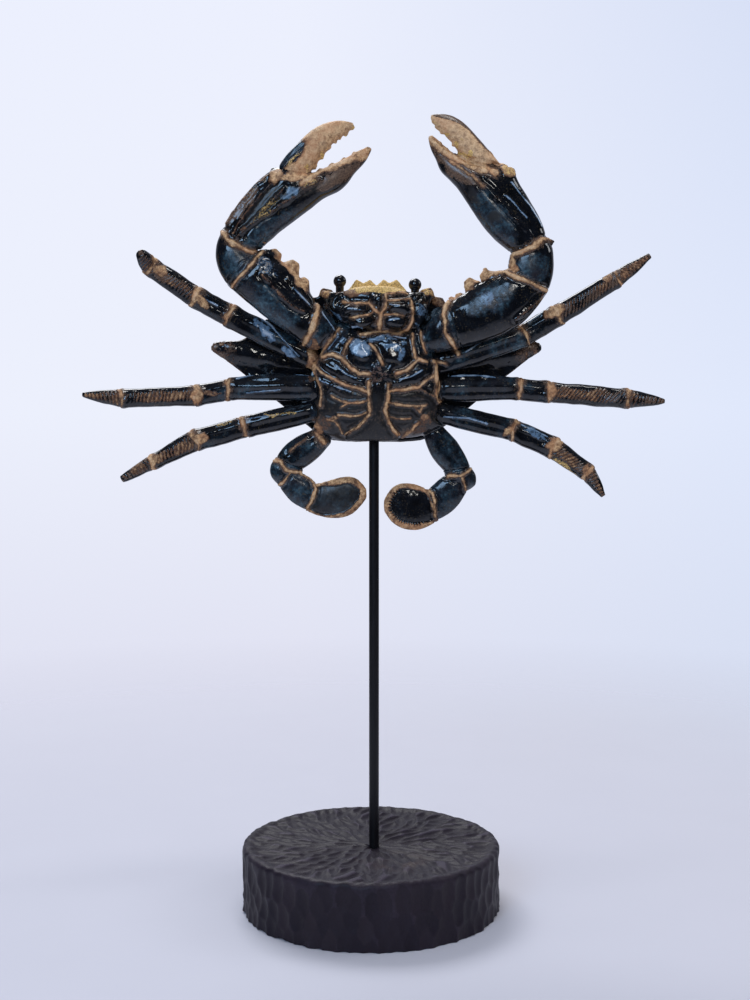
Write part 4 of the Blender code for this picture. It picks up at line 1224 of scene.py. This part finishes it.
def turned(label, profile, steps, centre=(0.0, 0.0)):
    """Spin a run of (radius, height) points in millimetres round an upright axis."""
    shape = bmesh.new()
    x, y = centre
    verts = [shape.verts.new(((x + r) / MM, y / MM, z / MM)) for r, z in profile]
    edges = [shape.edges.new(pair) for pair in zip(verts, verts[1:])]
    bmesh.ops.spin(shape, geom=verts + edges, cent=(x / MM, y / MM, 0), axis=(0, 0, 1),
                   angle=TURN, steps=steps, use_merge=True)
    bmesh.ops.remove_doubles(shape, verts=shape.verts, dist=1e-7)
    bmesh.ops.recalc_face_normals(shape, faces=shape.faces)
    return as_mesh(label, shape)


def eye(side, material):
    """A glossy ball on a short stalk."""
    label = "eye_ball_" + side
    low, high = box("eye_" + side)
    centre = (low + high)[:2] / 2
    radius = (high[0] - low[0]) / 2
    middle = high[2] - radius * 0.98
    profile = [(0.0, low[2] - 3.0), (2.3, low[2] - 3.0), (2.0, low[2] + 0.4)]
    profile += arc(0.0, middle, radius, -50, 90, 20)
    profile[-1] = (0.0, profile[-1][1])
    mesh = turned(label, profile, 48, centre)
    keep_piece(label, mesh, material, ["eye_" + side])


def rod(material):
    low, high = box("stand_rod")
    radius = (high[0] - low[0]) / 2
    soft = 0.4
    profile = [(0.0, low[2]), (radius - soft, low[2]), (radius, low[2] + soft)]
    profile += [(radius, z) for z in np.linspace(low[2] + 2, high[2] - 2, 24)]
    profile += [(radius, high[2] - soft), (radius - soft, high[2]), (0.0, high[2])]
    mesh = turned("rod", profile, 48, ((low + high)[0] / 2, 0.0))
    keep_piece("rod", mesh, material, ["stand_rod"])


# Each row's distance from the rod and its number of scoops, and half a scoop's length
# and width on the top.
TOP_ROWS = ((6.0, 8), (13.0, 15), (21.0, 23), (29.0, 30), (37.0, 37), (45.0, 44), (53.0, 52),
            (60.5, 58))
TOP_SCOOP = (8.2, 2.8)
# The height of each row on the side, its number of scoops, and half their width and height.
SIDE_ROWS = (3.0, 13.0, 23.5)
SIDE_COLUMNS = 60
SIDE_SCOOP = (3.7, 7.0)
RIM_OF_SCOOP = 1.3             # past this many half widths, squared, wood stands uncut
BASE_EDGE, BASE_FOOT = 3.0, 0.6    # the radii of the base's upper and lower edge
BASE_GRID = 0.8                # the height of the rows of faces on its side
BASE_STEPS = 480


def wrapped(angle):
    return np.mod(angle + math.pi, TURN) - math.pi


def top_scoops(random, angle, away, wander):
    """Rows of long scoops that point at the rod: 0 in a scoop's middle, over 1 between."""
    length, width = TOP_SCOOP
    nearest = np.full(len(angle), FAR)
    for row, count in TOP_ROWS:
        start = random.uniform(0, TURN)
        for i in range(count):
            turn = start + TURN * (i + random.uniform(-0.2, 0.2)) / count
            out = away - row - random.uniform(-3.5, 3.5)
            lean = random.uniform(-0.010, 0.016)
            across = np.maximum(away, 5.0) * wrapped(angle - turn + lean * out) + wander * 0.5
            room = width * random.uniform(0.8, 1.25)
            nearest = np.minimum(nearest, (across / room) ** 2 + (out / length) ** 2)
    return np.minimum(nearest, RIM_OF_SCOOP)


def side_scoops(random, angle, z, radius, wander):
    """Upright scoops in three broken rows, and the tone of the scoop at each place."""
    width, tall = SIDE_SCOOP
    nearest = np.full(len(angle), FAR)
    tone = np.zeros(len(angle))
    for row, height in enumerate(SIDE_ROWS):
        for i in range(SIDE_COLUMNS):
            turn = TURN * (i + 0.5 * row + random.uniform(-0.28, 0.28)) / SIDE_COLUMNS
            up = z - height - random.uniform(-3.5, 3.5)
            across = radius * wrapped(angle - turn) + wander * 0.4
            there = (across / width) ** 2 + (up / tall) ** 2
            tone[there < nearest] = random.uniform(-1, 1)
            nearest = np.minimum(nearest, there)
    return np.minimum(nearest, RIM_OF_SCOOP), tone


def base_profile(radius, top):
    """A slightly dished top, an upright side and a flat underside."""
    profile = [(r, top - 1.5 + 1.5 * (r / radius) ** 2)
               for r in np.arange(0, radius - BASE_EDGE, 0.85)]
    profile += arc(radius - BASE_EDGE, top - BASE_EDGE, BASE_EDGE, 90, 0, 6)
    profile += [(radius, z) for z in
                np.arange(top - BASE_EDGE - BASE_GRID, BASE_FOOT, -BASE_GRID)]
    profile += arc(radius - BASE_FOOT, BASE_FOOT, BASE_FOOT, 0, -90, 5)
    return profile + [(r, 0.0) for r in (56.0, 40.0, 20.0, 0.0)]


def base(material):
    """The round base, its top and side cut all over with a gouge."""
    radius, top = box("stand_base")[1][[0, 2]]
    mesh = turned("carved_base", base_profile(radius, top), BASE_STEPS)
    points = read(mesh.vertices, "co") * MM
    x, y, z = points.T
    angle, away = np.arctan2(y, x), np.hypot(x, y)
    upper = z > top / 2
    random = np.random.default_rng(4)
    wander = 1.4 * waves(points, 11.0)
    dish = top_scoops(random, angle, away, wander)
    side_dish, tone = side_scoops(random, angle, z, radius, wander)

    on_top = ease(radius - 1.5, radius - 7.0, away)
    rim = ease(top - 4.0, top - 1.0, z)
    wall = ease(radius - 4.0, radius - 0.8, away)
    cut = 1.2 * upper * (dish - 1.1) * np.maximum(on_top, 0.35 * rim)
    ragged = 0.5 + (0.5 * waves(points, 9.0) + 0.4 * grains(points, 4.5)) * wall
    hem = wall * (1 - ease(0.5, 4.5, z))
    height = z + cut * (1 - 0.6 * wall) + ragged * rim
    height += 1.3 * hem * np.maximum(0, waves(points, 6.0) - 0.2)
    height -= 1.6 * upper * bell(np.hypot(x - 1.5, y), 2.9)
    flare = 0.25 * (1 - ease(0.0, 12.0, z))
    scale = 1 + (0.95 * side_dish - 0.70 + flare) * wall / np.maximum(away, 1.0)
    move(mesh, np.stack([x * scale, y * scale, np.maximum(height, 0)], axis=1))

    # Ridge mask: paler wood on the scoops' ridges, partly rubbing and partly a painted highlight.
    ridge = np.where(wall > 0.5, 0.6 * ease(0.75, 1.25, side_dish), ease(0.6, 1.2, dish))
    worn = upper * bell(np.hypot(x - 14, y + 26), 14.0) * ease(-0.2, 0.5, waves(points, 6.0))
    add_fields(mesh, {"ridge": ridge, "worn": worn, "tone": 0.5 + 0.5 * tone * wall})
    keep_piece("carved_base", mesh, material, ["stand_base"])


# ---- the stage ----

CAMERA_PLACE = (0.002, -0.728, 0.2612)
CAMERA_DOWN = 4.16             # degrees below level
LENS = 52.31
# Each lamp's name, place, the point it faces, size, power and colour.
LAMPS = (
    ("window", (-0.60, -1.45, 0.95), (0, 0, 0.27), (0.55, 0.70), 8.5, (0.44, 0.68, 1.0)),
    ("curtain", (0.12, -1.60, 0.90), (0, 0, 0.27), (0.12, 0.45), 2.0, (1.0, 0.98, 0.93)),
    ("top", (0.10, -0.20, 1.35), (0, 0, 0.2), (0.60, 0.14), 2.6, (1.0, 0.99, 0.97)),
    ("back", (-0.40, 0.90, 1.50), (0, 0, 0.15), (1.00, 0.70), 17.0, (0.97, 0.98, 1.0)),
    ("far_side", (1.25, 0.15, 0.95), (0, 0, 0.27), (0.4, 0.5), 2.0, (0.95, 0.97, 1.0)),
)


def camera():
    lens = bpy.data.cameras.new("camera")
    lens.lens = LENS
    thing = linked("camera", lens)
    thing.location = CAMERA_PLACE
    thing.rotation_euler = (math.radians(90 - CAMERA_DOWN), 0, 0)
    bpy.context.scene.camera = thing


def lamp(name, place, target, size, power, colour):
    light = bpy.data.lights.new(name, "AREA")
    light.shape = "RECTANGLE"
    light.size, light.size_y = size
    light.energy = power
    light.color = colour
    thing = linked(name, light)
    thing.location = place
    thing.rotation_euler = (Vector(target) - Vector(place)).to_track_quat("-Z", "Y").to_euler()
    thing.visible_camera = False


def floor():
    """A pale round floor that fades into the background at its edge."""
    shape = bmesh.new()
    bmesh.ops.create_circle(shape, cap_ends=True, segments=96, radius=1.1)
    thing = linked("floor", as_mesh("floor", shape))
    material, paint = new_material("pale_floor", Roughness=0.9)
    away = paint.node("VectorMath", {"operation": "LENGTH"}, {0: paint.place()}, "Value")
    fade = paint.node("MapRange", {"interpolation_type": "SMOOTHSTEP"},
                      {"Value": away, "From Min": 0.16, "From Max": 0.85,
                       "To Min": 1.0, "To Max": 0.0})
    cloud = paint.noise(60.0)
    colour = paint.mix(cloud, (0.55, 0.555, 0.64), (0.57, 0.575, 0.66))
    paint.feed(paint.shader["Base Color"], colour)
    paint.feed(paint.shader["Alpha"], fade)
    thing.data.materials.append(material)


# The background's colours from low to high, on the left and on the right.
SKY_STOPS = (0.0, 0.32, 0.60, 1.0)
SKY = (
    ((0.56, 0.58, 0.70), (0.74, 0.75, 0.88), (0.84, 0.87, 0.98), (0.84, 0.87, 0.99)),
    ((0.53, 0.57, 0.69), (0.68, 0.73, 0.88), (0.75, 0.81, 0.97), (0.69, 0.75, 0.92)),
)


def background():
    """Pale blue-white behind the piece, even fill on matt clay, and a darker room, paler
    at the back, for the glaze to mirror."""
    world = bpy.data.worlds.new("room")
    bpy.context.scene.world = world
    world.use_nodes = True
    paint = Paint(world.node_tree, "Background")
    aim = paint.node("TexCoord", output="Generated")
    aside, back, rise = (paint.node("SeparateXYZ", inputs={0: aim}, output=axis)
                         for axis in "XYZ")
    left, right = (paint.node("ValToRGB", {"stops": tuple(zip(SKY_STOPS, colours))},
                              {"Fac": rise.between(-0.42, 0.26)}) for colours in SKY)
    seen = paint.mix(aside.between(-0.05, 0.24), left, right)
    mirrored = paint.mix(back.between(0.3, 1.0), (0.010, 0.011, 0.015), (0.48, 0.50, 0.60))
    mirrored = paint.mix(rise.between(0.5, 0.95), mirrored, (0.10, 0.11, 0.14))
    fill = paint.mix(rise.between(-1.0, 1.0), (0.44, 0.42, 0.42), (0.46, 0.46, 0.48))
    shown = paint.node("LightPath", output="Is Camera Ray")
    diffuse = paint.node("LightPath", output="Is Diffuse Ray")
    colour = paint.mix(shown, paint.mix(diffuse, mirrored, fill), seen)
    paint.shader["Strength"].default_value = 1.0
    paint.feed(paint.shader["Color"], colour)


def main():
    bpy.context.scene.view_settings.view_transform = "Standard"
    glaze = glaze_material()
    body(glaze)
    shell(glaze)
    for side in SIDES:
        claw(side, glaze)
        paddle_leg(side, glaze)
    for number, side in LEGS:
        leg(number, side, glaze)
    eyes = eye_material()
    for side in SIDES:
        eye(side, eyes)
    rod(steel_material())
    base(wood_material())
    camera()
    floor()
    background()
    for row in LAMPS:
        lamp(*row)


main()
